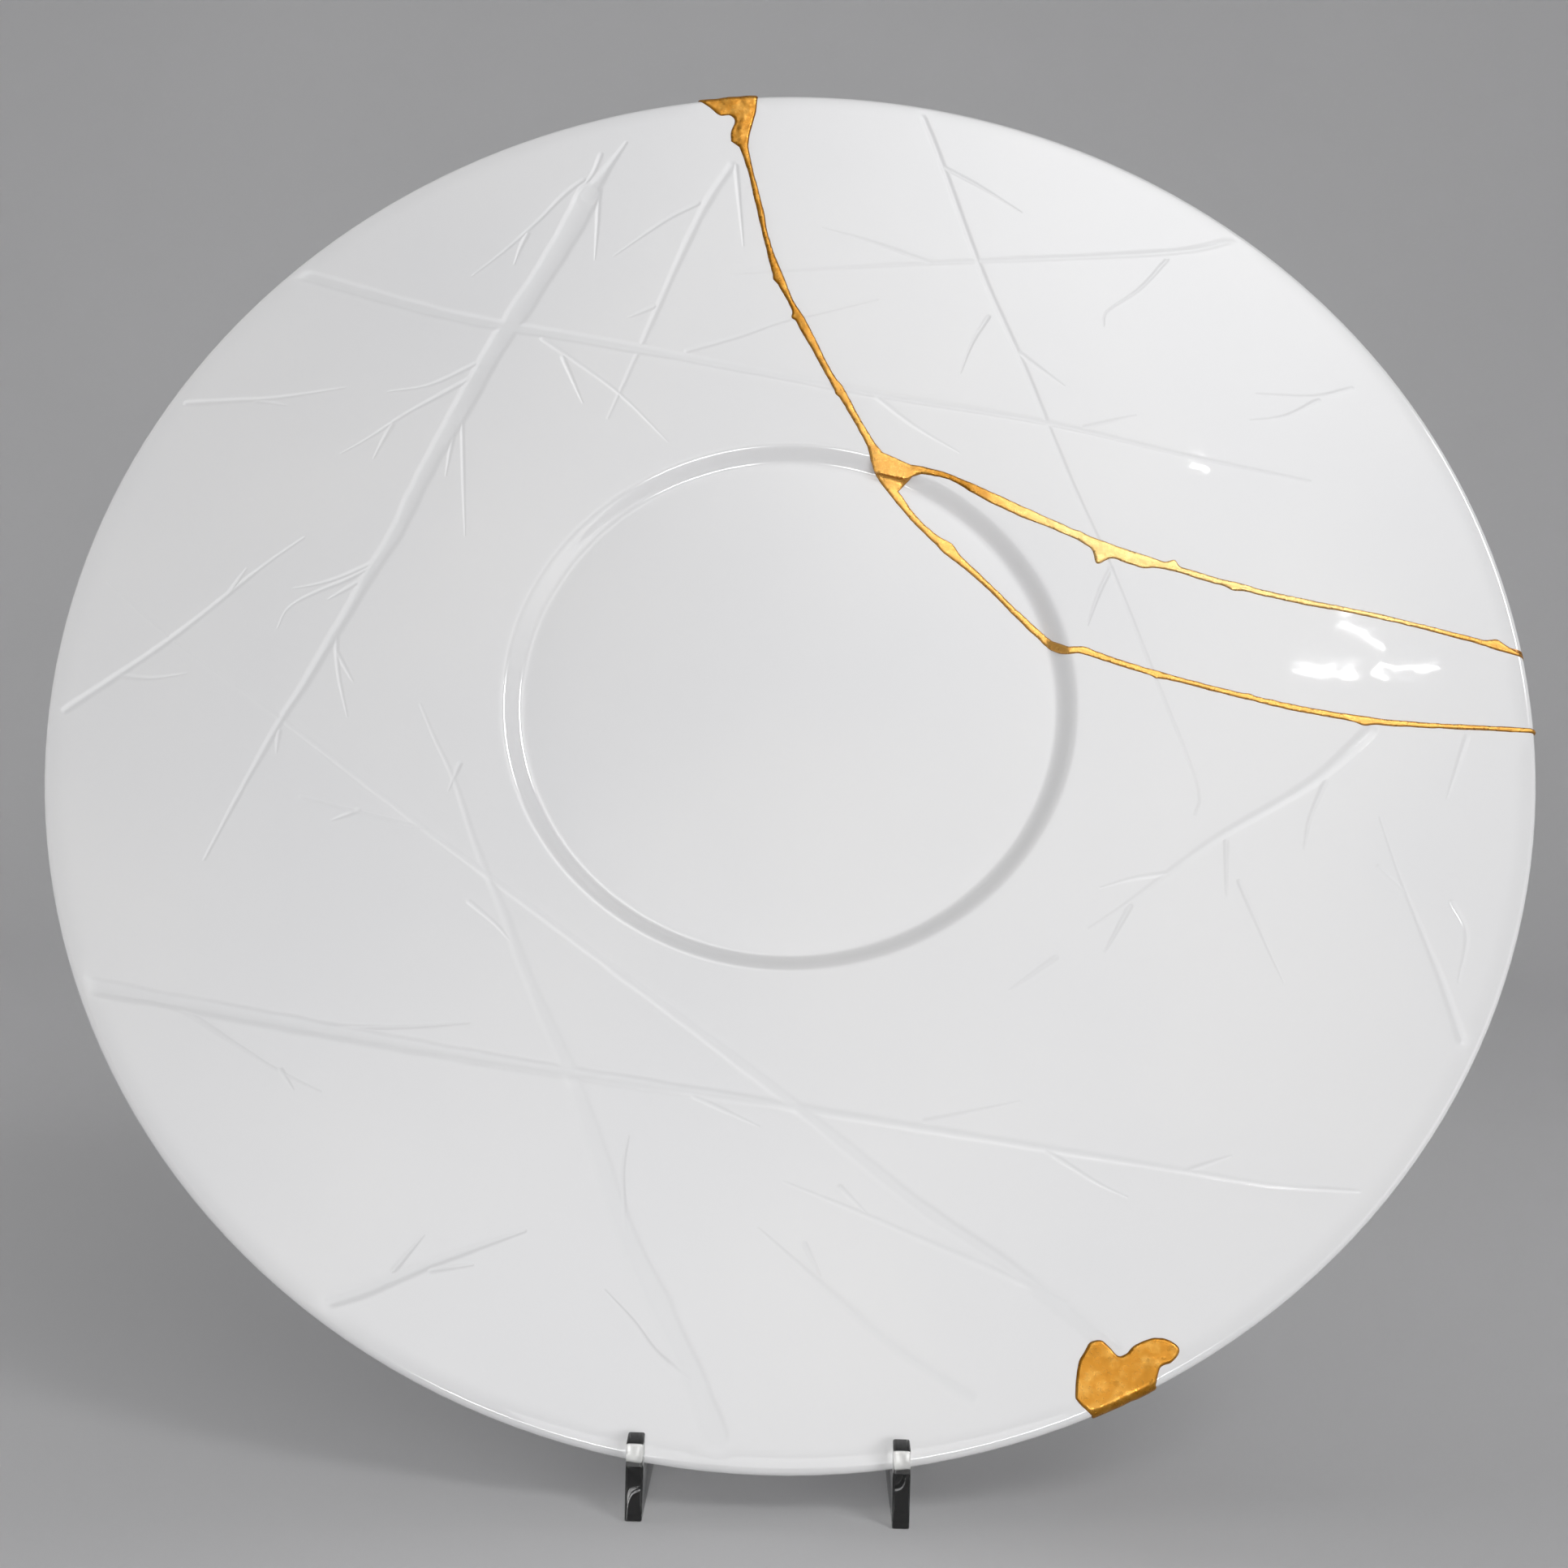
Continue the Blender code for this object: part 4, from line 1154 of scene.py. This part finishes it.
def daylight():
    """Even daylight all round, with soft glows in what is reflected."""
    world = bpy.data.worlds.new("studio")
    world.use_nodes = True
    tree = world.node_tree
    where = add_node(tree, "TexCoord", {})["Generated"]
    total = 0.0
    for azimuth, elevation, tightness, strength in GLOWS:
        towards = add_node(tree, "VectorMath", {0: where, 1: direction(azimuth, elevation)},
                           operation="DOT_PRODUCT")["Value"]
        glow = maths(tree, "POWER", maths(tree, "MAXIMUM", towards, 0.0), tightness)
        total = maths(tree, "ADD", maths(tree, "MULTIPLY", glow, strength), total)
    seen = maths(tree, "MULTIPLY", total, add_node(tree, "LightPath", {})["Is Glossy Ray"])
    give(tree, tree.nodes["Background"], {"Color": (1.0, 1.0, 1.0, 1.0),
                                          "Strength": maths(tree, "ADD", seen, DAYLIGHT)})
    bpy.context.scene.world = world
    bpy.context.scene.view_settings.view_transform = "Standard"


def camera():
    lens = bpy.data.cameras.new("camera")
    lens.lens = CAMERA_LENS
    lens.sensor_width = 36.0
    lens.clip_start = 0.02
    eye = bpy.data.objects.new("camera", lens)
    bpy.context.scene.collection.objects.link(eye)
    ahead = Vector((math.sin(CAMERA_YAW) * math.cos(CAMERA_PITCH),
                    math.cos(CAMERA_YAW) * math.cos(CAMERA_PITCH), math.sin(CAMERA_PITCH)))
    level = Vector((math.cos(CAMERA_YAW), -math.sin(CAMERA_YAW), 0.0))
    up = level.cross(ahead)
    right = level * math.cos(CAMERA_ROLL) + up * math.sin(CAMERA_ROLL)
    up = right.cross(ahead)
    eye.matrix_world = Matrix.Translation(CAMERA_PLACE) @ Matrix((right, up, -ahead)).transposed().to_4x4()
    bpy.context.scene.camera = eye


camera()
polish_group = uneven_polish_group()
acrylic = clear_sheet(polish_group)
gold = laid_gold_finish(polish_group)
shards(glazed_porcelain(polish_group))
gold_piece("gold_joint", joint_outline, "gold_seams", gold)
gold_piece("gold_chip", chip_outline, "gold_chip_fill", gold)
easel_side("easel_left_side", "stand_left_side", acrylic)
easel_side("easel_right_side", "stand_right_side", acrylic)
easel_bar("easel_foot_bar", "stand_foot_bar", 0.0, acrylic)
easel_bar("easel_back_bar", "stand_back_bar", math.pi / 2 - LEAN, acrylic)
pale_floor()
soft_lights()
overhead_lamps()
daylight()
